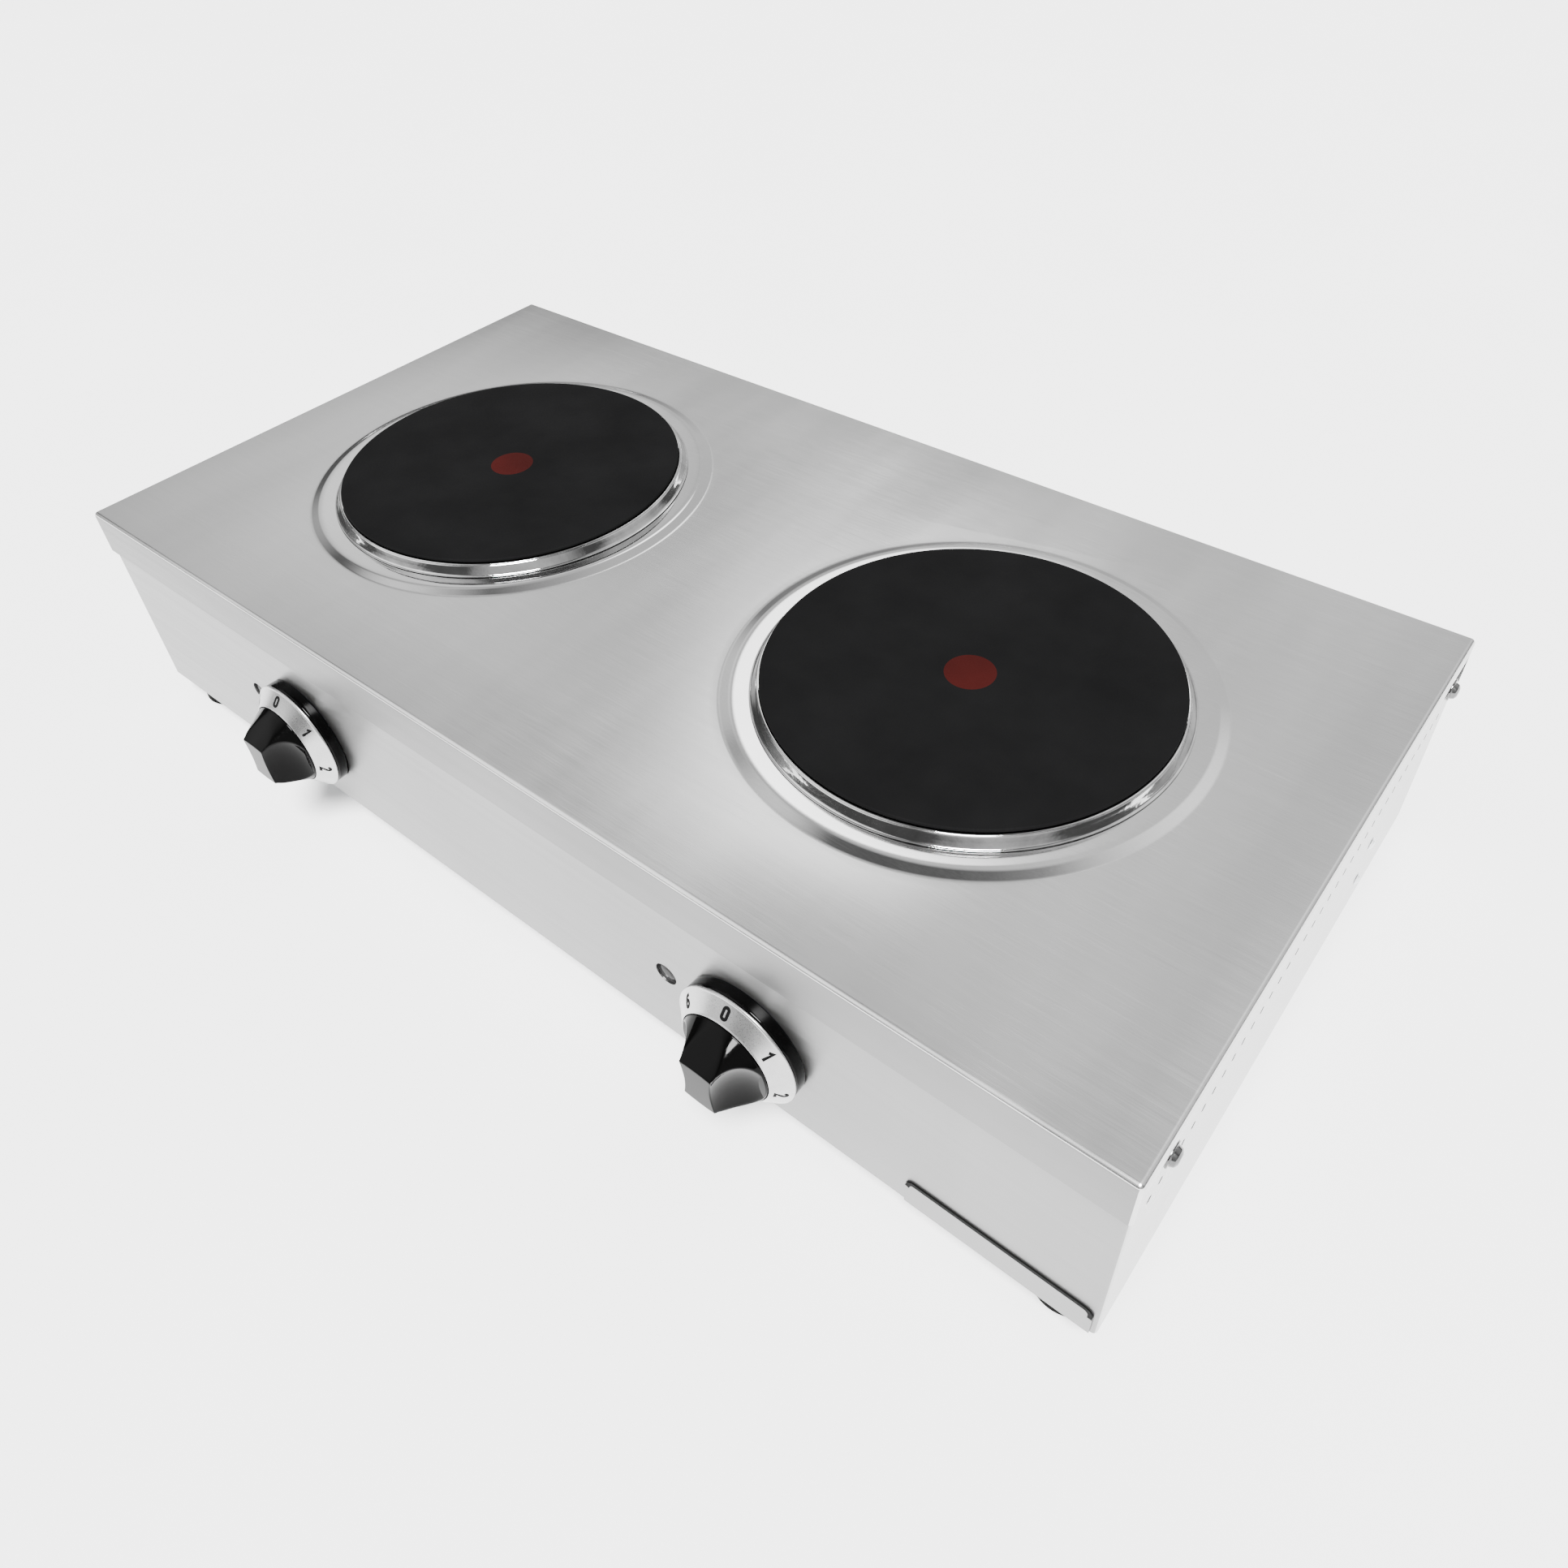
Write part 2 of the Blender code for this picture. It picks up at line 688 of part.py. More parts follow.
def make_switch(side, sign):
    """Rotary switch behind the front panel, held by two screws from the front."""
    x = sign * KNOB_X
    size, deep = 44.0, 38.0
    front = WRAP_FRONT + SHEET + GAP
    body = soft_block((x, front + deep / 2.0, KNOB_Z), (size, deep, size), 1.5)
    cutters = [rod((x, front + 12.0, KNOB_Z), SPINDLE_R + 0.3, 32.0, "y", CUTTERS)]
    for step in (-FIXING_OFFSET, FIXING_OFFSET):
        cutters.append(rod((x + step, front + 4.0, KNOB_Z), 2.3, 12.0, "y", CUTTERS, TINY))
    combine(body, cutters)
    dress(body, "rotary_switch_" + side, "switch_plastic")

    screw_line = [
        (0.0, 2.3),
        (2.4, 2.2),
        (3.5, 1.2),
        (3.6, 0.0),
        (2.0, 0.0),
        (2.0, -8.6),
        (1.5, -9.2),
        (0.0, -9.2),
    ]
    for end, step in (("outer", FIXING_OFFSET * sign), ("inner", -FIXING_OFFSET * sign)):
        screw = turned(screw_line, (x + step, WRAP_FRONT - GAP, KNOB_Z), "-y", TINY)
        dress(screw, "switch_screw_" + side + "_" + end, "zinc")


def make_lamp(side, sign):
    """Pilot lamp: recessed lens in the panel hole and the lamp body behind it."""
    place = (sign * KNOB_X + LAMP_OFFSET_X, WRAP_FRONT, LAMP_Z)
    lens_line = [
        (0.0, -0.5),
        (3.0, -0.6),
        (4.6, -0.9),
        (LENS_R, -1.4),
        (LENS_R, -6.0),
        (0.0, -6.0),
    ]
    lens = turned(lens_line, place, "-y", 24)
    dress(lens, "pilot_lens_" + side, "lens")

    face = -SHEET - GAP
    cup = LENS_R + GAP
    body_line = [
        (0.0, -6.3),
        (cup, -6.3),
        (cup, face),
        (8.0, face),
        (8.0, face - 1.4),
        (6.6, face - 1.6),
        (6.6, -26.0),
        (6.0, -27.0),
        (0.0, -27.0),
    ]
    body = turned(body_line, place, "-y", 24)
    dress(body, "pilot_lamp_" + side, "nylon")


def make_nameplate():
    """Blank plate at the lower right of the front panel."""
    left, right = 224.0, 303.6
    low, high = WRAP_BOTTOM + 0.2, 35.0
    corner = 4.0
    outline = [(left, low), (right, low)]
    outline += arc((right - corner, high - corner), corner, 0.0, 90.0, 4)
    outline += arc((left + corner, high - corner), corner, 90.0, 180.0, 4)
    plate = cutout(outline, 0.6, (0.0, WRAP_FRONT - GAP - 0.3, 0.0), "-y")
    return dress(plate, "nameplate", "label_plate")


# ---------------------------------------------------------------- fixings and feet

def make_feet():
    """Four rubber feet, each held by its own screw."""
    foot_line = [
        (2.6, FOOT_TOP),
        (FOOT_R - 2.2, FOOT_TOP),
        (FOOT_R - 1.6, FOOT_TOP - 0.6),
        (FOOT_R, 3.0),
        (FOOT_R, 0.6),
        (FOOT_R - 0.6, 0.0),
        (8.0, 0.0),
        (8.0, 9.0),
        (2.6, 9.0),
    ]
    screw_line = [
        (0.0, 27.0),
        (1.6, 27.0),
        (2.2, 26.2),
        (2.2, 8.7),
        (5.2, 8.7),
        (5.2, 6.4),
        (4.4, 5.4),
        (0.0, 5.4),
    ]
    for end, along in (("front", -FOOT_Y), ("rear", FOOT_Y)):
        for side, sign in SIDES:
            spot = (sign * FOOT_X, along, 0.0)
            foot = turned(foot_line, spot, sides=20, closed=True)
            dress(foot, "foot_" + end + "_" + side, "rubber")
            screw = turned(screw_line, spot, sides=TINY)
            dress(screw, "foot_screw_" + end + "_" + side, "zinc")


def make_side_screws():
    """Large-headed screws, front and rear on each side."""
    line = [
        (0.0, 3.4),
        (2.2, 3.2),
        (3.6, 2.4),
        (4.0, 0.9),
        (5.0, 0.8),
        (5.2, 0.0),
        (2.0, 0.0),
        (2.0, -9.0),
        (1.4, -10.0),
        (0.0, -10.0),
    ]
    for end, (along, high) in zip(("front", "rear"), SIDE_SCREW_SPOTS):
        for side, sign in SIDES:
            axis = "x" if sign > 0 else "-x"
            spot = (sign * (WRAP_X + GAP), along, high)
            screw = turned(line, spot, axis, TINY)
            dress(screw, "side_screw_" + end + "_" + side, "zinc")


# ---------------------------------------------------------------- mains connection

def make_gland():
    """Cable gland in the rear panel: body, locknut inside, cap outside; bore left open."""
    place = (GLAND_X, WRAP_BACK, GLAND_Z)
    flange = GAP + 4.2
    body_line = [
        (9.0, 16.5),
        (9.0, flange),
        (13.0, flange),
        (13.0, GAP),
        (9.8, GAP),
        (9.8, -14.0),
        (6.0, -14.0),
        (6.0, 16.5),
    ]
    body = turned(body_line, place, "y", 24, closed=True)
    dress(body, "cable_gland_body", "nylon")

    cap_line = [
        (6.0, 20.0),
        (9.5, 20.0),
        (12.4, 16.0),
        (12.8, flange + GAP),
        (9.4, flange + GAP),
        (9.4, 16.9),
        (6.0, 16.9),
    ]
    cap = turned(cap_line, place, "y", 24, closed=True)
    dress(cap, "cable_gland_cap", "nylon")

    nut = rod((GLAND_X, WRAP_BACK - SHEET - GAP - 3.0, GLAND_Z), 13.0, 6.0, "y", sides=6)
    combine(nut, [rod((GLAND_X, WRAP_BACK, GLAND_Z), 10.2, 40.0, "y", CUTTERS, 24)])
    dress(nut, "cable_gland_locknut", "nylon")


def make_terminal():
    """Terminal block on a bracket riveted to the right side, and the earth stud."""
    out = WRAP_X - SHEET - GAP
    thick = 1.1
    shelf = 53.0
    outline = [
        (out, 34.0),
        (out, 72.0),
        (out - thick, 72.0),
        (out - thick, shelf + thick),
        (out - 34.0, shelf + thick),
        (out - 34.0, shelf),
        (out - thick, shelf),
        (out - thick, 34.0),
    ]
    bracket = cutout(outline[::-1], 30.0, (0.0, BRACKET_Y, 0.0), "-y")
    holes = [rod((out, BRACKET_Y, z), 1.9, 6.0, "x", CUTTERS, TINY) for z in RIVET_Z]
    combine(bracket, holes)
    dress(bracket, "terminal_bracket", "galvanised")

    block_low = shelf + thick + GAP
    terminal = soft_block((286.0, BRACKET_Y, block_low + 9.0), (28.0, 40.0, 18.0), 1.0)
    dress(terminal, "terminal_block", "ceramic")

    rivet_line = [
        (0.0, 1.2),
        (1.8, 1.0),
        (3.2, 0.0),
        (1.6, 0.0),
        (1.6, -3.6),
        (0.0, -3.6),
    ]
    for place, z in zip(("upper", "lower"), RIVET_Z):
        rivet = turned(rivet_line, (WRAP_X + GAP, BRACKET_Y, z), "x", TINY)
        dress(rivet, "bracket_rivet_" + place, "zinc")

    stud_line = [
        (0.0, 19.0),
        (2.0, 19.0),
        (2.5, 18.4),
        (2.5, 1.4),
        (5.0, 1.4),
        (5.2, 0.0),
        (0.0, 0.0),
    ]
    stud = turned(stud_line, (255.0, 120.0, TRAY_Z + SHEET + GAP), sides=TINY)
    dress(stud, "earth_stud", "brass")


def make_wiring():
    """Sleeved wire bundles between terminal block, switches and plates."""
    behind = WRAP_FRONT + SHEET + GAP + 38.0 + GAP
    supply = [
        (286.0, 60.7, 62.0),
        (284.0, 20.0, 60.0),
        (262.0, -70.0, 52.0),
        (170.0, -96.0, 50.0),
        (156.0, behind + 6.0, 52.0),
        (156.0, behind, 52.0),
    ]
    dress(cable(supply, 2.4), "supply_harness", "wire_sleeve")
    for side, sign in SIDES:
        x = sign * PLATE_X
        run = [
            (x - 6.0, behind, 70.0),
            (x - 6.0, behind + 8.0, 71.0),
            (x - 20.0, -60.0, 78.0),
            (x - 12.0, 20.0, 80.0),
            (x, 44.0, 86.0),
            (x, 45.0, 97.3),
        ]
        dress(cable(run, 2.4), "plate_harness_" + side, "wire_sleeve")


# ---------------------------------------------------------------- assembly

make_top_cover()
make_housing_wrap()
make_bottom_tray()
make_rear_panel()
for side_name, side_sign in SIDES:
    make_cover_bracket(side_name, side_sign)
    make_zone(side_name, side_sign)
    make_knob(side_name, side_sign)
    make_switch(side_name, side_sign)
    make_lamp(side_name, side_sign)
make_nameplate()
make_feet()
make_side_screws()
make_gland()
make_terminal()
make_wiring()
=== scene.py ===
"""Looks of the counter-top hot plate burner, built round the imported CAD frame.

The object's named lengths are in millimetres, or in metres where they carry "* MM".
Places, boxes and the studio are in metres.
"""

import math
from collections import namedtuple

import bmesh
import bpy
from mathutils import Matrix, Vector


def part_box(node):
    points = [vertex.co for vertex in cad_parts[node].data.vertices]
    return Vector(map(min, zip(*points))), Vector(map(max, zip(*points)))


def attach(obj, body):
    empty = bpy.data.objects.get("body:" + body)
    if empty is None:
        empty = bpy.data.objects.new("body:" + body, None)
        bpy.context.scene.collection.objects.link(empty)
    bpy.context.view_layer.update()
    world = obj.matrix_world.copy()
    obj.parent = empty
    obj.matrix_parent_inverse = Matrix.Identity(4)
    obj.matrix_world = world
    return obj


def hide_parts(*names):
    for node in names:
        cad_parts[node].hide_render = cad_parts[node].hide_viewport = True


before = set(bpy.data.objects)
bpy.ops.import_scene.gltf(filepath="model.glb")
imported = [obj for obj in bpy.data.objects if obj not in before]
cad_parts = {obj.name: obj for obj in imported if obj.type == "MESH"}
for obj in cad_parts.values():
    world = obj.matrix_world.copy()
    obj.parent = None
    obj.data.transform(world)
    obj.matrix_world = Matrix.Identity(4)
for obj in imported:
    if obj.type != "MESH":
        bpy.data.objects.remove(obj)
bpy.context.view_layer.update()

MM = 0.001
FINE = 192
MIDDLE = 96
COARSE = 48
SIDES = ("left", "right")
HOUSING = "housing"
SQUARE_ON = 0.9


# ------------------------------------------------------------------ shader building blocks

EVEN = (1.0, 1.0, 1.0)
DRAWN = (1.0, 1.0, 30.0)
BRUSH_TURN = 0.25
HAIR_WIDER = 7.0


def grey(level):
    """Neutral colour."""
    return (level, level, level)


def set_inputs(made, inputs):
    """Set a node's unlinked inputs, by name or by number."""
    for key, value in inputs.items():
        made.inputs[key].default_value = value


def node(tree, kind, inputs=None, **settings):
    """Shader node with its settings and unlinked inputs."""
    made = tree.nodes.new(kind)
    for key, value in settings.items():
        setattr(made, key, value)
    set_inputs(made, inputs or {})
    return made


def new_material(name):
    """Material with only its output and one Principled shader."""
    made = bpy.data.materials.new(name)
    made.use_nodes = True
    tree = made.node_tree
    tree.nodes.clear()
    out = tree.nodes.new("ShaderNodeOutputMaterial")
    shader = tree.nodes.new("ShaderNodeBsdfPrincipled")
    tree.links.new(shader.outputs["BSDF"], out.inputs["Surface"])
    return made, tree, shader


def place_noise(tree, stretch, scale, detail=4.0, rough=0.55):
    """Noise in object space, stretched by a factor along each axis."""
    where = node(tree, "ShaderNodeTexCoord")
    shape = node(tree, "ShaderNodeMapping", {"Scale": stretch})
    noise = node(
        tree, "ShaderNodeTexNoise", {"Scale": scale, "Detail": detail, "Roughness": rough}
    )
    tree.links.new(where.outputs["Object"], shape.inputs["Vector"])
    tree.links.new(shape.outputs["Vector"], noise.inputs["Vector"])
    return noise.outputs["Fac"]


def spread(tree, source, low, high, start=0.3, end=0.7):
    """Map a value from its start and end on to a low and high value."""
    reach = {"From Min": start, "From Max": end, "To Min": low, "To Max": high}
    made = node(tree, "ShaderNodeMapRange", reach)
    tree.links.new(source, made.inputs["Value"])
    return made.outputs["Result"]


def tint(tree, source, dark, light, start=0.3, end=0.7):
    """Colour ramp between two colours, driven by a value."""
    ramp = node(tree, "ShaderNodeValToRGB")
    stops = ramp.color_ramp.elements
    for stop, place, colour in zip(stops, (start, end), (dark, light)):
        stop.position = place
        stop.color = (*colour, 1.0)
    tree.links.new(source, ramp.inputs["Fac"])
    return ramp.outputs["Color"]


def bump(tree, source, strength, distance, under=None):
    """Bump from a value, stacked on another bump if there is one."""
    made = node(tree, "ShaderNodeBump", {"Strength": strength, "Distance": distance})
    tree.links.new(source, made.inputs["Height"])
    if under is not None:
        tree.links.new(under, made.inputs["Normal"])
    return made.outputs["Normal"]


def multiply_add(tree, value, factor, addend):
    """value x factor + addend; the factor is a number or another node's output."""
    made = node(tree, "ShaderNodeMath", operation="MULTIPLY_ADD")
    tree.links.new(value, made.inputs[0])
    if isinstance(factor, float):
        made.inputs[1].default_value = factor
    else:
        tree.links.new(factor, made.inputs[1])
    tree.links.new(addend, made.inputs[2])
    return made.outputs[0]


def link_surface(tree, shader, colour, roughness, normal):
    """Join up the three linked sockets that every material here uses."""
    tree.links.new(colour, shader.inputs["Base Color"])
    tree.links.new(roughness, shader.inputs["Roughness"])
    tree.links.new(normal, shader.inputs["Normal"])


# ------------------------------------------------------------------ kinds of material

# Stretch of the fine grain and of the soft cross streaks of painted sheen, for a level sheet and an
# upright one.
GRAIN = {
    "flat": ((3.0, 260.0, 260.0), (5.0, 0.9, 1.0)),
    "wall": ((3.0, 3.0, 260.0), (4.0, 4.0, 0.9)),
}


def brushed_steel(name, lie, dark, light, rough=(0.17, 0.26), aniso=0.6):
    """Sheet steel brushed along its length: fine grain, hairline marks, and soft cross streaks
    painted into the colour as sheen, which also vary the roughness.
    """
    made, tree, shader = new_material(name)
    along, across = GRAIN[lie]
    fine = place_noise(tree, along, scale=14.0, detail=6.0, rough=0.7)
    sheen_streak = place_noise(tree, across, scale=2.6, detail=3.0, rough=0.5)
    wider = tuple(v / HAIR_WIDER for v in along)
    hair = place_noise(tree, wider, scale=9.0, detail=2.0, rough=0.5)
    # The cross streaks lighten the colour as painted sheen.
    cloud = spread(tree, sheen_streak, 0.0, 0.55, start=0.25, end=0.75)
    colour = tint(tree, multiply_add(tree, fine, 0.45, cloud), dark, light, 0.20, 0.80)
    roughness = multiply_add(
        tree, spread(tree, fine, *rough), spread(tree, hair, 0.93, 1.07),
        spread(tree, sheen_streak, -0.04, 0.04),
    )
    lift = bump(tree, fine, strength=0.03, distance=0.0001)
    normal = bump(tree, hair, strength=0.01, distance=0.0001, under=lift)
    link_surface(tree, shader, colour, roughness, normal)
    set_inputs(shader, {"Metallic": 1.0, "Anisotropic": aniso, "Anisotropic Rotation": BRUSH_TURN})
    tangent = node(tree, "ShaderNodeTangent", direction_type="UV_MAP")
    tree.links.new(tangent.outputs["Tangent"], shader.inputs["Tangent"])
    return made


def polished(name, dark, light, rough, ripple=38.0, depth=0.05):
    """Bright plated metal with faint drawn lines and slow ripples from forming."""
    made, tree, shader = new_material(name)
    cloud = place_noise(tree, EVEN, ripple)
    fine = place_noise(tree, DRAWN, scale=60.0, detail=3.0)
    link_surface(
        tree, shader, tint(tree, cloud, dark, light), spread(tree, fine, *rough),
        bump(tree, cloud, depth, distance=0.0003),
    )
    set_inputs(shader, {"Metallic": 1.0})
    return made


def grained(name, dark, light, rough, scale, strength, metallic=0.0, specular=0.5):
    """Matt or satin surface with a fine grain and slow colour change."""
    made, tree, shader = new_material(name)
    cloud = place_noise(tree, EVEN, scale * 0.02, detail=3.0)
    fine = place_noise(tree, EVEN, scale, detail=5.0, rough=0.65)
    link_surface(
        tree, shader, tint(tree, cloud, dark, light), spread(tree, fine, *rough),
        bump(tree, fine, strength, distance=0.0002),
    )
    set_inputs(shader, {"Metallic": metallic, "Specular IOR Level": specular})
    return made


def glossy(name, dark, light, rough, shine):
    """Moulded gloss plastic with a trace of flow ripple."""
    made, tree, shader = new_material(name)
    flow = place_noise(tree, EVEN, scale=45.0, detail=2.0)
    fine = place_noise(tree, EVEN, scale=900.0, detail=3.0)
    link_surface(
        tree, shader, tint(tree, flow, dark, light), spread(tree, fine, *rough),
        bump(tree, flow, strength=0.03, distance=0.0004),
    )
    set_inputs(shader, {"Specular IOR Level": shine})
    return made


# ------------------------------------------------------------------ materials

STEEL_DARK = grey(0.50)
STEEL_LIGHT = (0.76, 0.76, 0.758)
SATIN = (0.30, 0.42)

steel_top = brushed_steel("brushed_steel_cover", "flat", STEEL_DARK, STEEL_LIGHT)
# The front, skirt and side copies of the brushed steel differ in colour from the top as painted
# shade for the way each faces the light; their grain lie and roughness are their own.
steel_front_painted_shade = brushed_steel("brushed_steel_front_painted_shade", "wall", grey(0.21), grey(0.31), SATIN)
steel_skirt_painted_shade = brushed_steel("brushed_steel_skirt_painted_shade", "wall", grey(0.15), grey(0.23), SATIN)
steel_seat = brushed_steel(
    "burnished_steel_seat", "flat", STEEL_DARK, STEEL_LIGHT, rough=(0.07, 0.12), aniso=0.2
)
steel_side_painted_shade = brushed_steel("brushed_steel_side_painted_shade", "wall", grey(0.44), grey(0.58), (0.26, 0.36))
drawn_chrome = polished(
    "drawn_trim_ring", grey(0.42), grey(0.66), rough=(0.04, 0.10), ripple=70.0, depth=0.5
)
screw_steel = polished("screw_steel", grey(0.10), grey(0.22), rough=(0.12, 0.22))
zinc = polished("zinc_plate", (0.55, 0.56, 0.57), (0.75, 0.76, 0.77), rough=(0.18, 0.30))
brass = polished("stud_brass", (0.55, 0.38, 0.14), (0.72, 0.52, 0.22), rough=(0.2, 0.32))
# Near-black painted shade for the cut faces of the side vents, standing for the shade in their
# hollows.
vent_shade_paint = grained(
    "vent_slot_painted_shade", grey(0.004), grey(0.012), rough=(0.5, 0.7), scale=900.0, strength=0.2,
    specular=0.1,
)
galvanised = grained(
    "galvanised_sheet", (0.42, 0.43, 0.44), (0.60, 0.61, 0.62), rough=(0.30, 0.50),
    scale=600.0, strength=0.1, metallic=1.0,
)
iron = grained(
    "matt_black_iron", (0.0022, 0.0022, 0.0023), (0.0034, 0.0034, 0.0035), rough=(0.70, 0.86),
    scale=1400.0, strength=0.2, specular=0.04,
)
red_paint = grained(
    "heat_mark_enamel", (0.015, 0.0014, 0.0011), (0.022, 0.0022, 0.0018), rough=(0.60, 0.80),
    scale=1400.0, strength=0.2, specular=0.06,
)
dial_metal = grained(
    "satin_dial", grey(0.40), grey(0.54), rough=(0.24, 0.34), scale=2200.0, strength=0.1,
    metallic=1.0,
)
ink = grained(
    "dial_print", grey(0.0015), grey(0.003), rough=(0.5, 0.7), scale=900.0, strength=0.05,
    specular=0.05,
)
rubber = grained(
    "foot_rubber", grey(0.0016), grey(0.0034), rough=(0.7, 0.9), scale=900.0, strength=0.3,
    specular=0.05,
)
nylon = grained(
    "black_nylon", grey(0.012), grey(0.022), rough=(0.4, 0.55), scale=700.0, strength=0.1
)
ceramic = grained(
    "cream_ceramic", (0.66, 0.63, 0.56), (0.80, 0.78, 0.72), rough=(0.45, 0.65), scale=500.0,
    strength=0.15,
)
sleeve = grained(
    "woven_sleeve", (0.55, 0.54, 0.50), (0.78, 0.76, 0.71), rough=(0.7, 0.9), scale=1500.0,
    strength=0.4,
)
black_gloss = glossy("knob_moulding", grey(0.0006), grey(0.0010), rough=(0.04, 0.08), shine=0.07)
lens_grey = glossy("smoked_lens", grey(0.010), grey(0.020), rough=(0.16, 0.26), shine=0.05)


# ------------------------------------------------------------------ geometry

Box = namedtuple("Box", "centre size low high")

TURN = {
    "z": Matrix.Identity(4),
    "-y": Matrix.Rotation(math.pi / 2, 4, "X"),
    "x": Matrix.Rotation(math.pi / 2, 4, "Y"),
    "-x": Matrix.Rotation(-math.pi / 2, 4, "Y"),
}


def box_of(name):
    """Centre, size and corners of a CAD node's box, in metres."""
    low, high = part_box(name)
    return Box((low + high) / 2.0, high - low, low, high)


def mesh_from(work, name):
    """Mesh from a finished bmesh, which is freed."""
    mesh = bpy.data.meshes.new(name)
    work.to_mesh(mesh)
    work.free()
    return mesh


def finish_piece(name, mesh, material, body, slot, *replaced, crease=30.0):
    """Link a mesh as a named piece: smooth with creases, with its material and its body."""
    made = bpy.data.objects.new(name, mesh)
    bpy.context.scene.collection.objects.link(made)
    mesh.shade_smooth()
    mesh.set_sharp_from_angle(angle=math.radians(crease))
    mesh.materials.clear()
    mesh.materials.append(material)
    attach(made, body)
    if replaced:
        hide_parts(*replaced)


def polar(radius, turn, height):
    """Point round the Z axis, given and measured in millimetres, in metres."""
    return Vector((radius * math.cos(turn), radius * math.sin(turn), height)) * MM


def lathe_into(work, profile, place, axis="z", count=FINE, closed=False):
    """Add a turned surface; profile is (radius, height) in millimetres, down its outer side."""
    move = Matrix.Translation(place) @ TURN[axis]
    rings = []
    for radius, height in profile:
        corners = count if radius else 1
        rings.append([
            work.verts.new(move @ polar(radius, 2.0 * math.pi * i / count, height))
            for i in range(corners)
        ])
    pairs = list(zip(rings, rings[1:]))
    if closed:
        pairs.append((rings[-1], rings[0]))
    for upper, lower in pairs:
        for i in range(count):
            j = (i + 1) % count
            if len(upper) == 1:
                work.faces.new((upper[0], lower[i], lower[j]))
            elif len(lower) == 1:
                work.faces.new((upper[i], lower[0], upper[j]))
            else:
                work.faces.new((upper[i], lower[i], lower[j], upper[j]))


def lathe(name, profile, place, axis="z", count=FINE, closed=False):
    """Turned mesh on its own."""
    work = bmesh.new()
    lathe_into(work, profile, place, axis, count, closed)
    return mesh_from(work, name)


def rounded(points, radius, steps=4):
    """Round the inner corners of an open (radius, height) profile."""
    result = [points[0]]
    for before, corner, after in zip(points, points[1:], points[2:]):
        a, b, c = Vector(before), Vector(corner), Vector(after)
        reach = min(radius, (a - b).length * 0.45, (c - b).length * 0.45)
        start = b + (a - b).normalized() * reach
        end = b + (c - b).normalized() * reach
        for i in range(steps + 1):
            t = i / steps
            point = start * (1 - t) ** 2 + b * 2 * t * (1 - t) + end * t ** 2
            result.append((point.x, point.y))
    result.append(points[-1])
    return result


def bow(centre, radii, start, end, count=10):
    """Points along part of an ellipse, angles in degrees."""
    points = []
    for i in range(count + 1):
        turn = math.radians(start + (end - start) * i / count)
        points.append((centre[0] + radii[0] * math.cos(turn),
                       centre[1] + radii[1] * math.sin(turn)))
    return points


def flat_uv(mesh):
    """UV map in metres, laid flat on each face, its U along the brushing."""
    layer = mesh.uv_layers.new(name="grain")
    for face in mesh.polygons:
        facing = [abs(v) for v in face.normal]
        across, up = {0: (1, 2), 1: (0, 2), 2: (0, 1)}[facing.index(max(facing))]
        for corner in face.loop_indices:
            place = mesh.vertices[mesh.loops[corner].vertex_index].co
            layer.data[corner].uv = (place[across], place[up])


# ------------------------------------------------------------------ top cover

SHEET = 0.8
BEND = 2.2
BEND_STEPS = 8
SIDE_FLANGE = 9.0
FLANGE_CUT = 8.0
FLANGE_CUT_BELOW = 5.0
FLANGE_CUT_SHORT = 4.0
SEAT_FOOT = 107.5
SEAT_SHOULDER = 103.0
SEAT_CREST = 101.2
SEAT_RISE = 1.6
SEAT_DIP = 0.6
SEAT_EASE = 0.08
SEAT_BLEND = 112.0
SEAT_CUT_LENGTH = 20.0
SEAT_CLEAR = 0.05 * MM
HOLE_R = 91.0
WELD = 0.01 * MM

plates = {side: box_of("hot_plate_" + side) for side in SIDES}
cover = box_of("top_cover")
top_z = cover.high.z - SEAT_RISE * MM


def sheet_tool(centre, size, bend=0.0):
    """Box object in metres; a bend rounds every edge except the four round its underside."""
    bpy.ops.mesh.primitive_cube_add(size=1.0)
    made = bpy.context.object
    made.data.transform(Matrix.Diagonal((*size, 1.0)))
    if bend:
        weights = made.data.attributes.new("bevel_weight_edge", "FLOAT", "EDGE")
        for edge in made.data.edges:
            heights = [made.data.vertices[i].co.z for i in edge.vertices]
            weights.data[edge.index].value = 0.0 if max(heights) < 0.0 else 1.0
        bevel = made.modifiers.new("bend", "BEVEL")
        bevel.width = bend
        bevel.segments = BEND_STEPS
        bevel.limit_method = "WEIGHT"
    made.location = centre
    return made


def round_tool(place, radius, length):
    """Upright cylinder object for cutting; millimetre radius and length, place in metres."""
    half = length / 2.0
    mesh = lathe("tool", [(0.0, half), (radius, half), (radius, -half), (0.0, -half)], place)
    made = bpy.data.objects.new("tool", mesh)
    bpy.context.scene.collection.objects.link(made)
    return made


def cut(thing, tools):
    """Cut the tools out of a thing with exact Booleans, and remove all of them."""
    for tool in tools:
        change = thing.modifiers.new("cut", "BOOLEAN")
        change.operation = "DIFFERENCE"
        change.solver = "EXACT"
        change.object = tool
    bpy.context.view_layer.update()
    seen = thing.evaluated_get(bpy.context.evaluated_depsgraph_get())
    mesh = bpy.data.meshes.new_from_object(seen)
    mesh.transform(thing.matrix_world)
    for spare in [thing, *tools]:
        bpy.data.objects.remove(spare, do_unlink=True)
    return mesh


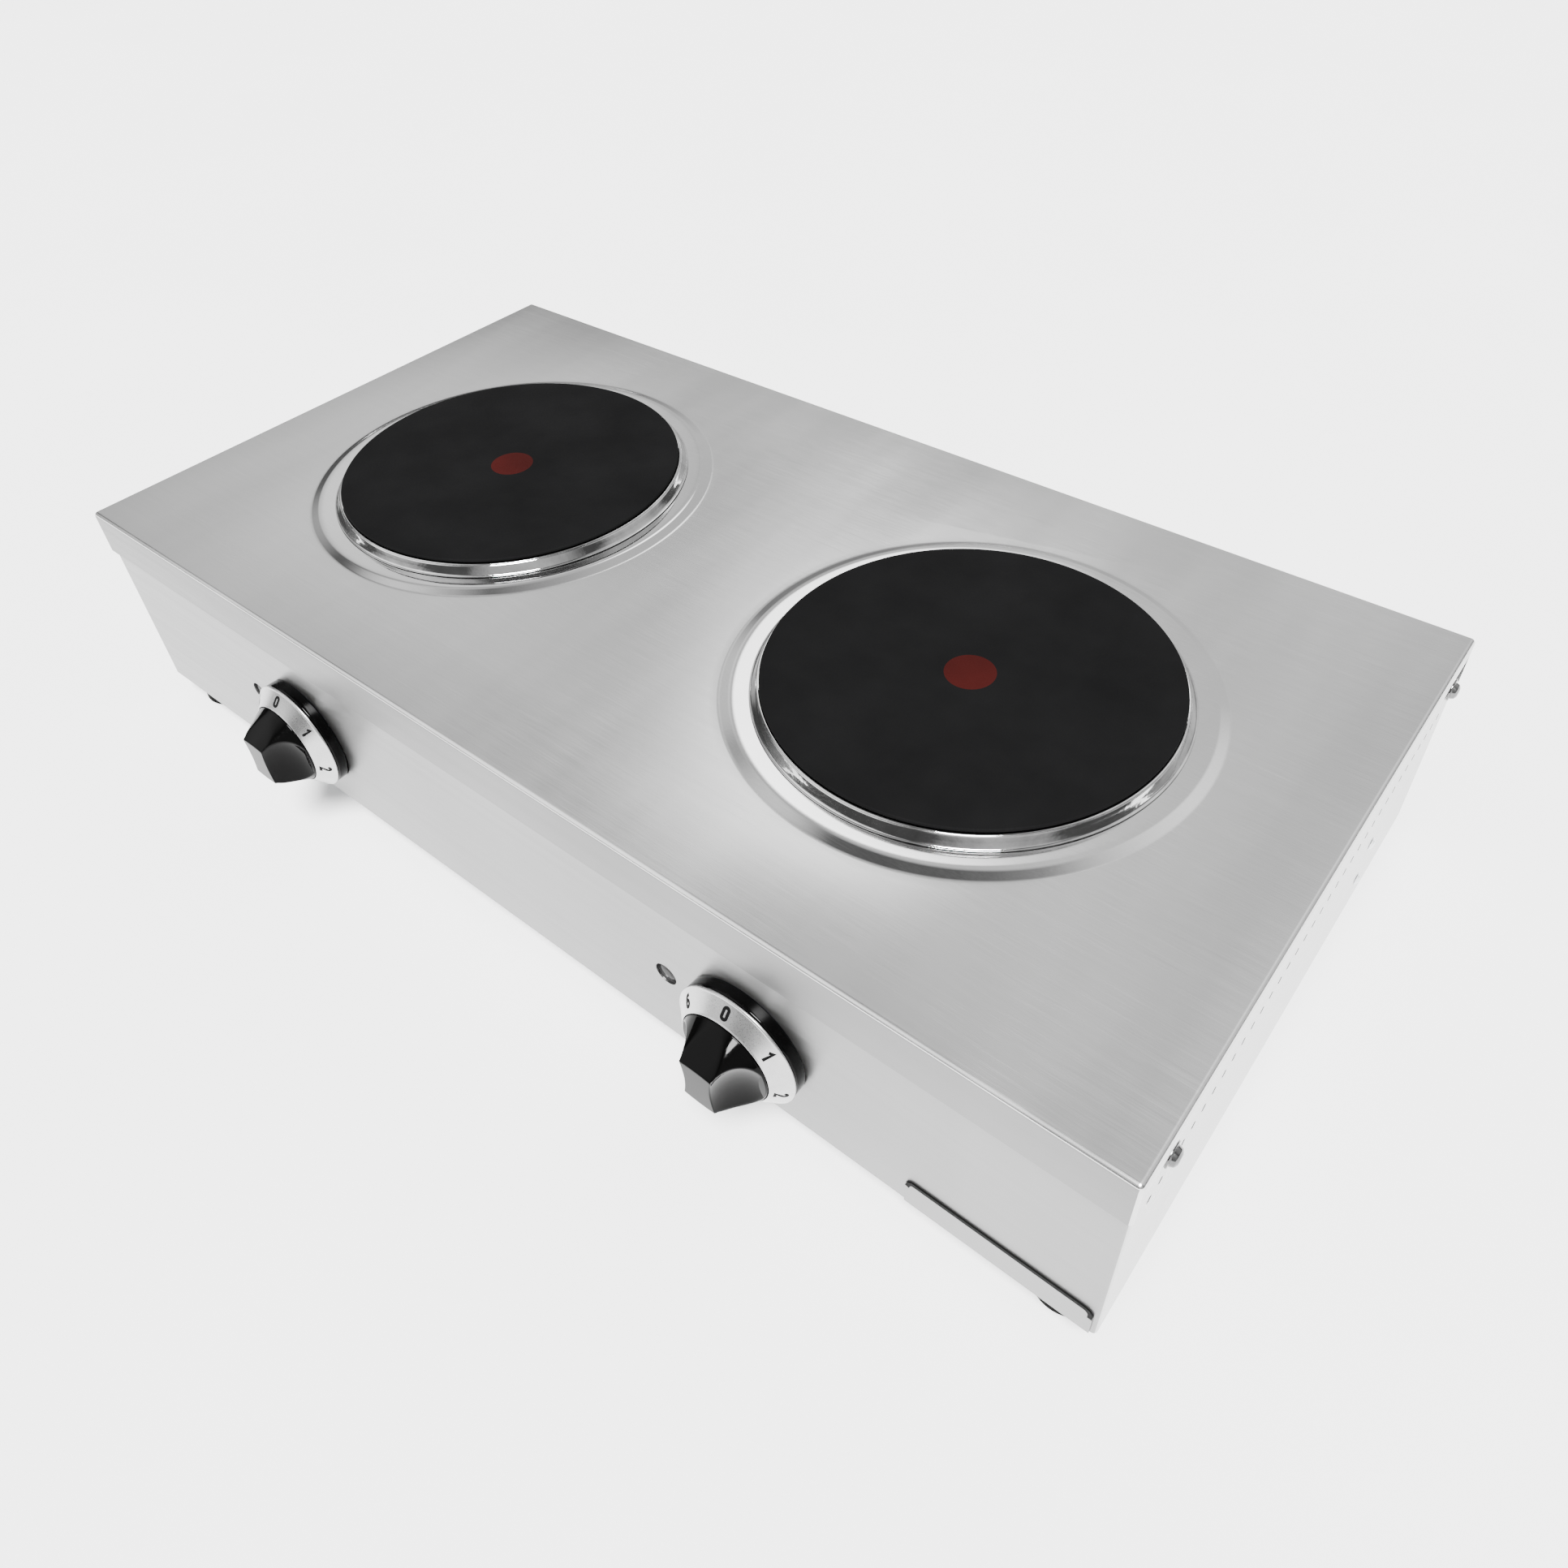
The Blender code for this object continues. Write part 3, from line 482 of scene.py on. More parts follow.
def cover_blank():
    """Open box of sheet with short side flanges, and a round gap where each seat goes."""
    height = top_z - cover.low.z
    middle = Vector((cover.centre.x, cover.centre.y, top_z - height / 2.0))
    full = Vector((cover.size.x, cover.size.y, height))
    sheet = Vector((2.0, 2.0, 0.0)) * SHEET * MM
    drop = Vector((0.0, 0.0, SHEET * MM))
    shell = sheet_tool(middle, full, BEND * MM)
    tools = [sheet_tool(middle - drop, full - sheet, (BEND - SHEET) * MM)]
    for side in SIDES:
        spot = plates[side].centre
        tools.append(round_tool(Vector((spot.x, spot.y, top_z)), SEAT_BLEND, SEAT_CUT_LENGTH))
    low = cover.low.z - FLANGE_CUT_BELOW * MM
    high = top_z - SIDE_FLANGE * MM
    size = Vector((FLANGE_CUT * MM, cover.size.y - FLANGE_CUT_SHORT * MM, high - low))
    for sign in (-1.0, 1.0):
        edge = cover.centre.x + sign * cover.size.x / 2.0
        tools.append(sheet_tool(Vector((edge, cover.centre.y, (low + high) / 2)), size))
    return cut(shell, tools)


def seat_profile():
    """Seat from the flat sheet in to the hole along its top, and back out underneath."""
    over = [
        (SEAT_BLEND, 0.0),
        (SEAT_FOOT + 0.2, 0.0),
        (SEAT_SHOULDER, SEAT_RISE - SEAT_EASE),
        (SEAT_CREST, SEAT_RISE),
        (SEAT_CREST - 1.6, SEAT_RISE - SEAT_EASE),
        (HOLE_R, SEAT_RISE - SEAT_DIP),
    ]
    under = [
        (HOLE_R, SEAT_RISE - SEAT_DIP - SHEET),
        (SEAT_CREST, SEAT_RISE - SHEET),
        (SEAT_SHOULDER - 0.4, SEAT_RISE - SHEET),
        (SEAT_FOOT - 0.4, -SHEET),
        (SEAT_BLEND, -SHEET),
    ]
    return rounded(over, 0.9, 5) + rounded(under, 0.8, 3)


# The cover's finishes: the top steel, copies darkened as painted shade for the skirt and the sides,
# and the smoother seat steel.
COVER_FINISHES_AND_SHADES = (steel_top, steel_skirt_painted_shade, steel_side_painted_shade, steel_seat)


def cover_finish_and_shade(face):
    """Which of the cover's finishes a face takes, from the way it faces and where it is; skirt and
    side faces get painted shade.
    """
    if abs(face.normal.y) > SQUARE_ON:
        return steel_skirt_painted_shade
    if abs(face.normal.x) > SQUARE_ON:
        return steel_side_painted_shade
    reach = min(math.dist(face.center.xy, plates[side].centre.xy) for side in SIDES)
    raised = face.center.z > top_z + SEAT_CLEAR and face.normal.z > SQUARE_ON
    return steel_seat if raised and reach < SEAT_FOOT * MM else steel_top


def build_cover():
    """Pressed sheet: rounded edges, front skirt, short side flanges, soft-edged seats."""
    work = bmesh.new()
    work.from_mesh(cover_blank())
    profile = seat_profile()[::-1]
    for side in SIDES:
        spot = plates[side].centre
        lathe_into(work, profile, Vector((spot.x, spot.y, top_z)))
    bmesh.ops.remove_doubles(work, verts=work.verts, dist=WELD)
    bmesh.ops.recalc_face_normals(work, faces=work.faces)
    mesh = mesh_from(work, "cover_sheet")
    flat_uv(mesh)
    finish_piece("cover_sheet", mesh, steel_top, HOUSING, "steel", "top_cover", crease=35.0)
    for finish in COVER_FINISHES_AND_SHADES[1:]:
        mesh.materials.append(finish)
    for face in mesh.polygons:
        face.material_index = COVER_FINISHES_AND_SHADES.index(cover_finish_and_shade(face))


build_cover()


# ------------------------------------------------------------------ cooking zones

PLATE_EDGE = 1.5
PLATE_RECESS = 0.6
PLATE_RECESS_R = 26.0
BARREL_R_TOP = 87.4
BARREL_R_LOW = 86.8
BARREL_DEPTH = 15.7
BOSS_R = 11.0
BOSS_DEPTH = 19.7
STUD_R = 4.0
STUD_DEPTH = 53.2
MARK_R = 11.25
MARK_THICK = 0.04
RING_BORE = 88.2
RING_WALL_R = 91.2


def build_plate(side, spot):
    """Plate casting with its stud, and the painted spot in its recess."""
    radius = plates[side].size.x / 2.0 / MM
    line = [
        (0.0, -PLATE_RECESS),
        (12.0, -PLATE_RECESS),
        (17.0, -0.45),
        (22.0, -0.15),
        (PLATE_RECESS_R, 0.0),
        (radius - 0.4, 0.0),
        (radius, -0.5),
        (radius, -PLATE_EDGE + 0.05),
        (BARREL_R_TOP, -PLATE_EDGE),
        (BARREL_R_LOW, -BARREL_DEPTH),
        (BOSS_R, -BARREL_DEPTH),
        (STUD_R, -BOSS_DEPTH),
        (STUD_R, -STUD_DEPTH),
        (0.0, -STUD_DEPTH),
    ]
    plate = lathe("cast_plate", rounded(line, 0.35), spot)
    finish_piece(
        "cast_plate_" + side, plate, iron, HOUSING, "iron", "hot_plate_" + side, crease=40.0
    )
    face = MARK_THICK - PLATE_RECESS
    paint = [
        (0.0, face),
        (MARK_R - 0.25, face),
        (MARK_R, face - MARK_THICK / 2.0),
        (MARK_R, -PLATE_RECESS),
        (0.0, -PLATE_RECESS),
    ]
    mark = lathe("mark", paint, spot, count=MIDDLE)
    finish_piece("heat_mark_" + side, mark, red_paint, HOUSING, "iron")


def build_ring(side, spot):
    """Drawn trim ring between the plate and its seat."""
    box = box_of("overflow_ring_" + side)
    top = (box.high.z - box.low.z) / MM
    outer = box.size.x / 2.0 / MM
    line = [
        (RING_BORE, top - 0.1),
        (RING_WALL_R - 1.0, top - 0.1),
        (RING_WALL_R - 0.5, top),
        (RING_WALL_R + 0.05, top - 0.25),
        (RING_WALL_R, top - 0.75),
        (RING_WALL_R + 0.3, top - 1.0),
        (92.5, top - 2.8),
        (93.5, 0.8),
        (93.9, 0.35),
        (outer, 0.25),
        (outer, -0.1),
        (93.4, -0.1),
        (92.8, 0.6),
        (RING_WALL_R - 0.2, top - 1.0),
        (RING_BORE, top - 0.6),
    ]
    place = Vector((spot.x, spot.y, box.low.z))
    ring = lathe("ring", rounded(line, 0.3), place, closed=True)
    finish_piece(
        "trim_ring_" + side, ring, drawn_chrome, HOUSING, "chrome", "overflow_ring_" + side,
        crease=50.0,
    )


for side in SIDES:
    middle = plates[side].centre
    zone = Vector((middle.x, middle.y, plates[side].high.z))
    build_plate(side, zone)
    build_ring(side, zone)


# ------------------------------------------------------------------ knobs

KNOB_OFF_PANEL = 0.5
KNOB_DEPTH = 30.0
HUB_R = 21.3
HUB_FRONT = 14.55
SKIRT_FRONT = 6.1
SKIRT_WALL_R = 24.5
SKIRT_FLOOR = 4.6
BOSS_OUT_R = 8.0
BORE_R = 3.3
BORE_END = 22.5
GRIP_R = 21.6
GRIP_BACK = 14.2
GRIP_EASE = 0.4
FACE_WIDE = 8.1
FACE_HIGH = 11.3
ARCH = 2.12
SCOOP_X = 23.8
SCOOP_FRONT = 0.5
SCOOP = (17.0, 17.0, 29.0)
KNOB_ANGLES = 240
KNOB_STEPS = 64
SOFTNESS = 5.0
ROUND_OVER = 0.5
ROUND_STEPS = 4
FACE_RINGS = (0.93, 0.6, 0.3)


def soft_min(values):
    """Smooth minimum, in millimetres, which rounds the edges where flanks meet."""
    least = min(values)
    return least - math.log(sum(math.exp((least - v) * SOFTNESS) for v in values)) / SOFTNESS


def scoop_reach(turn, depth):
    """Distance from the axis to the scoop's near side, or nothing where the ray misses it."""
    deep = (depth - KNOB_DEPTH - SCOOP_FRONT) / SCOOP[1]
    if abs(deep) >= 1.0:
        return []
    shrink = math.sqrt(1.0 - deep * deep)
    half_x, half_z = SCOOP[0] * shrink, SCOOP[2] * shrink
    a = (math.cos(turn) / half_x) ** 2 + (math.sin(turn) / half_z) ** 2
    b = -2.0 * SCOOP_X * abs(math.cos(turn)) / half_x ** 2
    c = (SCOOP_X / half_x) ** 2 - 1.0
    inside = b * b - 4.0 * a * c
    return [(-b - math.sqrt(inside)) / (2.0 * a)] if inside > 0.0 else []


def grip_radius(turn, depth):
    """How far the grip reaches from the axis at an angle from +X and a depth off the panel."""
    share = (depth - GRIP_BACK) / (KNOB_DEPTH - GRIP_BACK)
    cone = GRIP_R + (math.hypot(FACE_WIDE, FACE_HIGH) - GRIP_R) * share
    tall = GRIP_R + GRIP_EASE + (FACE_HIGH - GRIP_R - GRIP_EASE) * share
    wide = tall * ARCH
    wedge = 1.0 / math.hypot(math.cos(turn) / wide, math.sin(turn) / tall)
    return soft_min([cone, wedge, *scoop_reach(turn, depth)])


def grip_rings():
    """Rings of (radius, depth) up the grip, over its rounded front edge and in to its middle."""
    rings = []
    height = KNOB_DEPTH - ROUND_OVER - GRIP_BACK
    for step in range(KNOB_STEPS + 1):
        depth = GRIP_BACK + height * step / KNOB_STEPS
        rings.append([(grip_radius(2 * math.pi * i / KNOB_ANGLES, depth), depth)
                      for i in range(KNOB_ANGLES)])
    flank = rings[-1]
    for step in range(1, ROUND_STEPS + 1):
        turn = math.pi / 2 * step / ROUND_STEPS
        inset = ROUND_OVER * (1.0 - math.cos(turn))
        rise = ROUND_OVER * math.sin(turn)
        rings.append([(radius - inset, depth + rise) for radius, depth in flank])
    rim = rings[-1]
    for share in FACE_RINGS:
        rings.append([(radius * share, depth) for radius, depth in rim])
    return rings


def skin_grip(work, move):
    """Add the grip's surface, closed by a fan at the middle of its face."""
    loops = [
        [work.verts.new(move @ polar(radius, 2 * math.pi * i / KNOB_ANGLES, depth))
         for i, (radius, depth) in enumerate(ring)]
        for ring in grip_rings()
    ]
    tip = work.verts.new(move @ polar(0.0, 0.0, KNOB_DEPTH))
    for i in range(KNOB_ANGLES):
        j = (i + 1) % KNOB_ANGLES
        for lower, upper in zip(loops, loops[1:]):
            work.faces.new((lower[i], lower[j], upper[j], upper[i]))
        work.faces.new((loops[-1][i], loops[-1][j], tip))


def build_knob(side, body, place):
    """Moulding: skirt, hub and scooped bar grip in one."""
    skirt = box_of("knob_" + side).size.x / 2.0 / MM
    back = KNOB_OFF_PANEL
    shell = [
        (0.0, HUB_FRONT),
        (HUB_R, HUB_FRONT),
        (HUB_R + 0.4, GRIP_BACK),
        (HUB_R + 0.6, 12.9),
        (28.6, SKIRT_FRONT + 0.2),
        (28.6, SKIRT_FRONT),
        (skirt - 0.5, SKIRT_FRONT),
        (skirt, SKIRT_FRONT - 0.7),
        (skirt, back + 0.4),
        (skirt - 0.4, back),
        (SKIRT_WALL_R, back),
        (SKIRT_WALL_R, SKIRT_FLOOR),
        (BOSS_OUT_R, SKIRT_FLOOR),
        (BOSS_OUT_R, back),
        (BORE_R, back),
        (BORE_R, BORE_END),
        (0.0, BORE_END),
    ]
    work = bmesh.new()
    lathe_into(work, rounded(shell, 0.3, 3), place, "-y")
    skin_grip(work, Matrix.Translation(place) @ TURN["-y"])
    finish_piece(
        "knob_moulding_" + side, mesh_from(work, "knob"), black_gloss, body, "gloss_black",
        "knob_" + side, crease=55.0,
    )


# ------------------------------------------------------------------ dials

DIAL_BORE = 22.2
DIAL_R_SMALL = 22.7
DIAL_FRONT = 13.6
DIAL_BACK = 6.4
DIGIT_HEIGHT = 5.6
STROKE = 0.25
MITRE = 0.6
CAP = 0.25
PRINT_LIFT = 0.05

# One pen stroke for each figure from 0 to 6, on a grid one digit high: its points, and
# whether it closes on itself.
STROKES = (
    (bow((0.0, 0.26), (0.2, 0.16), 0.0, 180.0) + bow((0.0, -0.26), (0.2, 0.16), 180.0, 360.0), True),
    ([(-0.17, 0.24), (0.03, 0.42), (0.03, -0.42)], False),
    (bow((0.0, 0.22), (0.2, 0.2), 160.0, -35.0) + [(-0.2, -0.42), (0.22, -0.42)], False),
    (bow((0.0, 0.21), (0.18, 0.21), 150.0, -80.0)
     + bow((0.0, -0.21), (0.2, 0.21), 80.0, -150.0), False),
    ([(0.22, -0.14), (-0.22, -0.14), (0.1, 0.42), (0.1, -0.42)], False),
    ([(0.18, 0.42), (-0.16, 0.42), (-0.18, 0.06)]
     + bow((0.0, -0.15), (0.2, 0.27), 115.0, -145.0), False),
    ([(0.13, 0.41)] + bow((0.02, -0.1), (0.22, 0.5), 115.0, 180.0)[1:-1]
     + bow((0.0, -0.19), (0.2, 0.23), 180.0, -170.0, 18), False),
)


def ribbon(points, closed):
    """Left and right edges of a pen stroke, one pair for each point."""
    places = [Vector(point) for point in points]
    edges = []
    count = len(places)
    for i, here in enumerate(places):
        before = places[i - 1] if i or closed else here
        after = places[(i + 1) % count] if i < count - 1 or closed else here
        into = (here - before).normalized() if before != here else (after - here).normalized()
        out = (after - here).normalized() if after != here else into
        along = into + out
        along = along.normalized() if along.length > 0.2 else out
        wide = STROKE / 2.0 / max(MITRE, abs(along.dot(out)))
        across = Vector((-along.y, along.x)) * wide
        reach = Vector((0.0, 0.0))
        if not closed and i in (0, count - 1):
            reach = along * (STROKE * (CAP if i else -CAP))
        edges.append(here + across + reach)
        edges.append(here - across + reach)
    return edges


def skin_ribbon(work, top, under, closed):
    """Skin a stroke's top, underside and edges."""
    pairs = len(top) // 2
    for i in range(pairs if closed else pairs - 1):
        j = (i + 1) % pairs
        a, b, c, d = 2 * i, 2 * i + 1, 2 * j + 1, 2 * j
        work.faces.new((top[a], top[b], top[c], top[d]))
        work.faces.new((under[d], under[c], under[b], under[a]))
        work.faces.new((top[d], under[d], under[a], top[a]))
        work.faces.new((top[b], under[b], under[c], top[c]))
    if not closed:
        work.faces.new((top[0], under[0], under[1], top[1]))
        work.faces.new((top[-1], under[-1], under[-2], top[-2]))


def build_numeral(number, side, body, place, start, end):
    """One printed figure, wrapped on to the dial's cone between its two ends."""
    slope = (end - start).normalized()
    normal = Vector((-slope.y, slope.x))
    middle = (start + end) / 2.0
    move = Matrix.Translation(place) @ TURN["-y"]
    around = math.radians(90.0 - number * 360.0 / len(STROKES))
    stroke, closed = STROKES[number]
    rows = ribbon(stroke, closed)
    work = bmesh.new()
    layers = []
    for lift in (PRINT_LIFT, 0.0):
        layer = []
        for point in rows:
            spot = middle + slope * point.y * DIGIT_HEIGHT + normal * lift
            turn = around - point.x * DIGIT_HEIGHT / spot.x
            layer.append(work.verts.new(move @ polar(spot.x, turn, spot.y)))
        layers.append(layer)
    skin_ribbon(work, *layers, closed)
    bmesh.ops.recalc_face_normals(work, faces=work.faces)
    mesh = mesh_from(work, "numeral")
    finish_piece(f"dial_numeral_{number}_{side}", mesh, ink, body, "gloss_black", crease=20.0)


def build_dial(side, body, place):
    """Spun metal ring with a rolled edge, and its printed figures."""
    big = box_of("dial_ring_" + side).size.x / 2.0 / MM
    start = Vector((DIAL_R_SMALL + 0.1, DIAL_FRONT - 0.3))
    end = Vector((big - 0.75, DIAL_BACK + 1.25))
    line = [
        (DIAL_BORE, DIAL_FRONT + 0.1),
        (DIAL_BORE + 0.3, DIAL_FRONT + 0.1),
        tuple(start),
        tuple(end),
        (big - 0.45, DIAL_BACK + 1.15),
        (big, DIAL_BACK + 0.7),
        (big, DIAL_BACK + 0.1),
        (29.0, DIAL_BACK + 0.05),
        (DIAL_BORE, DIAL_FRONT - 0.5),
    ]
    mesh = lathe("dial", rounded(line, 0.18, 3), place, "-y", closed=True)
    finish_piece(
        "dial_face_" + side, mesh, dial_metal, body, "dial_metal", "dial_ring_" + side,
        crease=50.0,
    )
    for number in range(len(STROKES)):
        build_numeral(number, side, body, place, start, end)


for side in SIDES:
    knob = box_of("knob_" + side)
    turning = "knob_assembly_" + side
    panel = Vector((knob.centre.x, knob.high.y + KNOB_OFF_PANEL * MM, knob.centre.z))
    build_knob(side, turning, panel)
    build_dial(side, turning, panel)


# ------------------------------------------------------------------ small pieces

FOOT_BORE = 2.6
FOOT_POCKET_R = 8.0
FOOT_POCKET = 9.0
SCREW_SHANK_R = 2.0
SCREW_LENGTH = 10.0


def build_lamp(side):
    """Domed smoked lens with a turned rim, set in the panel hole."""
    box = box_of("pilot_lens_" + side)
    radius = box.size.x / 2.0 / MM
    length = box.size.y / MM
    line = [
        (0.0, length - 0.05),
        (2.2, length - 0.12),
        (3.8, length - 0.42),
        (radius - 0.5, length - 0.85),
        (radius, length - 1.3),
        (radius, 0.0),
        (0.0, 0.0),
    ]
    place = Vector((box.centre.x, box.high.y, box.centre.z))
    mesh = lathe("lens", rounded(line, 0.4), place, "-y", MIDDLE)
    finish_piece(
        "lamp_lens_" + side, mesh, lens_grey, HOUSING, "lens", "pilot_lens_" + side, crease=50.0
    )


def build_foot(name):
    """Round rubber foot, tapered, with a moulded lip."""
    box = box_of("foot_" + name)
    top = box.size.z / MM
    radius = box.size.x / 2.0 / MM
    line = [
        (FOOT_BORE, top),
        (radius - 2.2, top),
        (radius - 1.6, top - 0.6),
        (radius - 0.8, 7.0),
        (radius - 0.4, 6.2),
        (radius, 3.0),
        (radius, 0.6),
        (radius - 0.6, 0.0),
        (FOOT_POCKET_R, 0.0),
        (FOOT_POCKET_R, FOOT_POCKET),
        (FOOT_BORE, FOOT_POCKET),
    ]
    place = Vector((box.centre.x, box.centre.y, box.low.z))
    mesh = lathe("foot", rounded(line, 0.5, 3), place, count=MIDDLE, closed=True)
    finish_piece("rubber_foot_" + name, mesh, rubber, HOUSING, "rubber", "foot_" + name)


def build_side_screw(name):
    """Pan-head screw with a washer flange."""
    box = box_of("side_screw_" + name)
    radius = box.size.y / 2.0 / MM
    head = box.size.x / MM - SCREW_LENGTH
    line = [
        (0.0, head),
        (2.0, head - 0.15),
        (3.4, head - 0.9),
        (3.9, head - 2.2),
        (4.0, 0.9),
        (radius - 0.2, 0.8),
        (radius, 0.0),
        (SCREW_SHANK_R, 0.0),
        (SCREW_SHANK_R, 1.0 - SCREW_LENGTH),
        (SCREW_SHANK_R - 0.6, -SCREW_LENGTH),
        (0.0, -SCREW_LENGTH),
    ]
    if box.centre.x > 0:
        axis, base = "x", box.high.x - head * MM
    else:
        axis, base = "-x", box.low.x + head * MM
    place = Vector((base, box.centre.y, box.centre.z))
    mesh = lathe("screw", rounded(line, 0.3, 3), place, axis, COARSE)
    finish_piece("pan_screw_" + name, mesh, screw_steel, HOUSING, "zinc", "side_screw_" + name)


for side in SIDES:
    build_lamp(side)
for end in ("front", "rear"):
    for side in SIDES:
        build_foot(end + "_" + side)
        build_side_screw(end + "_" + side)


# ------------------------------------------------------------------ nameplate border

BORDER_WIDE = 2.0 * MM
BORDER_CORNER = 3.0 * MM
BORDER_PROUD = 0.03 * MM
BORDER_DROP_LEFT = 4.5 * MM
BORDER_DROP_RIGHT = 3.0 * MM


def border_path(plate):
    """(x, z) points along the plate's top, turning down at its two upper corners."""
    inset = BORDER_WIDE / 2.0
    bend = (BORDER_CORNER, BORDER_CORNER)
    hub_z = plate.high.z - BORDER_CORNER - inset
    hub_left = (plate.low.x + BORDER_CORNER + inset, hub_z)
    hub_right = (plate.high.x - BORDER_CORNER - inset, hub_z)
    return [
        (plate.low.x + inset, plate.high.z - BORDER_DROP_LEFT),
        *bow(hub_left, bend, 135.0, 90.0, 4),
        *bow(hub_right, bend, 90.0, 0.0, 8),
        (plate.high.x - inset, plate.high.z - BORDER_CORNER - BORDER_DROP_RIGHT),
    ]


def build_nameplate_border():
    """Dark printed border of the blank plate, a thin band along its path."""
    plate = box_of("nameplate")
    points = border_path(plate)
    depths = (plate.low.y - BORDER_PROUD, plate.low.y)
    work = bmesh.new()
    rows = []
    for i, point in enumerate(points):
        before = Vector(points[max(i - 1, 0)])
        after = Vector(points[min(i + 1, len(points) - 1)])
        along = (after - before).normalized()
        across = Vector((-along.y, along.x)) * BORDER_WIDE / 2.0
        ends = [Vector(point) + across, Vector(point) - across]
        corners = [(ends[0], depths[0]), (ends[0], depths[1]),
                   (ends[1], depths[1]), (ends[1], depths[0])]
        rows.append([work.verts.new((edge.x, y, edge.y)) for edge, y in corners])
    for first, second in zip(rows, rows[1:]):
        for i in range(4):
            j = (i + 1) % 4
            work.faces.new((first[i], first[j], second[j], second[i]))
    work.faces.new(rows[0][::-1])
    work.faces.new(rows[-1])
    bmesh.ops.recalc_face_normals(work, faces=work.faces)
    finish_piece("nameplate_border", mesh_from(work, "line"), ink, HOUSING, "label_plate")


build_nameplate_border()


# ------------------------------------------------------------------ CAD nodes kept as they are

# Where the side vents are: their cut faces take painted shade.
VENT_Z = 97.0
VENT_REACH = 2.3
VENT_OUT = 300.0
SIDE_FACING = 0.7
TOP_FACING = 0.05

CARRIED = {
    galvanised: ["bottom_tray", "terminal_bracket", "cover_bracket_left", "cover_bracket_right",
                 "clamp_bridge_left", "clamp_bridge_right", "heat_shield_left",
                 "heat_shield_right"],
    zinc: ["bracket_rivet_upper", "bracket_rivet_lower", "clamp_nut_left", "clamp_nut_right",
           "foot_screw_front_left", "foot_screw_front_right", "foot_screw_rear_left",
           "foot_screw_rear_right", "switch_screw_left_inner", "switch_screw_left_outer",
           "switch_screw_right_inner", "switch_screw_right_outer", "switch_spindle_left",
           "switch_spindle_right"],
    nylon: ["cable_gland_body", "cable_gland_cap", "cable_gland_locknut", "pilot_lamp_left",
            "pilot_lamp_right", "rotary_switch_left", "rotary_switch_right"],
    ceramic: ["ceramic_connector_left", "ceramic_connector_right", "terminal_block"],
    brass: ["earth_stud"],
    sleeve: ["supply_harness", "plate_harness_left", "plate_harness_right"],
}


def dress(name, *materials):
    """Give a CAD node its materials, the first one on every face."""
    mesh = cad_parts[name].data
    mesh.materials.clear()
    for material in materials:
        mesh.materials.append(material)
    return mesh


def dress_wrap():
    """Front panel and sides take copies of the steel darkened as painted shade for their facing, and
    the cut faces of the side vents take painted shade.
    """
    mesh = dress("housing_wrap", steel_front_painted_shade, steel_side_painted_shade, vent_shade_paint)
    flat_uv(mesh)
    for face in mesh.polygons:
        by_vent = abs(face.center.z - VENT_Z * MM) < VENT_REACH * MM
        if abs(face.normal.x) > SIDE_FACING:
            face.material_index = 1
        # Painted shade on the vents' cut faces.
        elif by_vent and abs(face.center.x) > VENT_OUT * MM:
            face.material_index = 2


def dress_nameplate():
    """The plate's upper edge is dark like the printed border that runs along it."""
    # The plate's face takes the front panel's copy of the steel, with its painted shade.
    mesh = dress("nameplate", steel_front_painted_shade, ink)
    flat_uv(mesh)
    for face in mesh.polygons:
        if face.normal.z > TOP_FACING:
            face.material_index = 1


dress_wrap()
# The rear panel takes the front panel's copy of the steel, with its painted shade.
flat_uv(dress("rear_panel", steel_front_painted_shade))
dress_nameplate()
for finish, names in CARRIED.items():
    for name in names:
        dress(name, finish)


# ------------------------------------------------------------------ studio

FLOOR_SIZE = 40.0
SKY_BASE = 0.12
SKY_ZENITH = 1.2

# Soft lights in the sky: azimuth, elevation, inner and outer radius in degrees, and level.
SKY_GLOWS = (
    (106.0, 38.0, 24.0, 46.0, 0.88),
    (158.0, 29.0, 8.0, 18.0, 0.90),
    (128.0, 44.0, 3.0, 8.5, 4.5),
    (174.0, 54.0, 4.0, 13.0, 0.9),
    (-134.0, 40.0, 16.0, 36.0, 2.6),
    (44.0, 38.0, 18.0, 36.0, 1.0),
    (-40.0, 30.0, 12.0, 34.0, 0.8),
)
KEY_FROM = (0.28, -0.38, 0.88)
KEY_POWER = 15.0
KEY_SPREAD = 20.0

# The camera that was solved from the reference view: metres and degrees.
CAMERA_PLACE = (0.342753, -0.338178, 0.478861)
CAMERA_TURN = (48.0025, 2.1608, 38.6936)
CAMERA_LENS = 27.936
CAMERA_SHIFT = (-0.00816, -0.05497)
CAMERA_CLIP = (0.01, 50.0)


def build_floor():
    """Plain pale floor."""
    bpy.ops.mesh.primitive_plane_add(size=FLOOR_SIZE, location=(0.0, 0.0, 0.0))
    floor = bpy.context.object
    floor.name = "floor"
    made, tree, shader = new_material("pale_floor")
    cloud = place_noise(tree, EVEN, scale=3.0, detail=3.0)
    tree.links.new(tint(tree, cloud, grey(0.90), grey(0.93)), shader.inputs["Base Color"])
    set_inputs(shader, {"Roughness": 0.7})
    floor.data.materials.append(made)


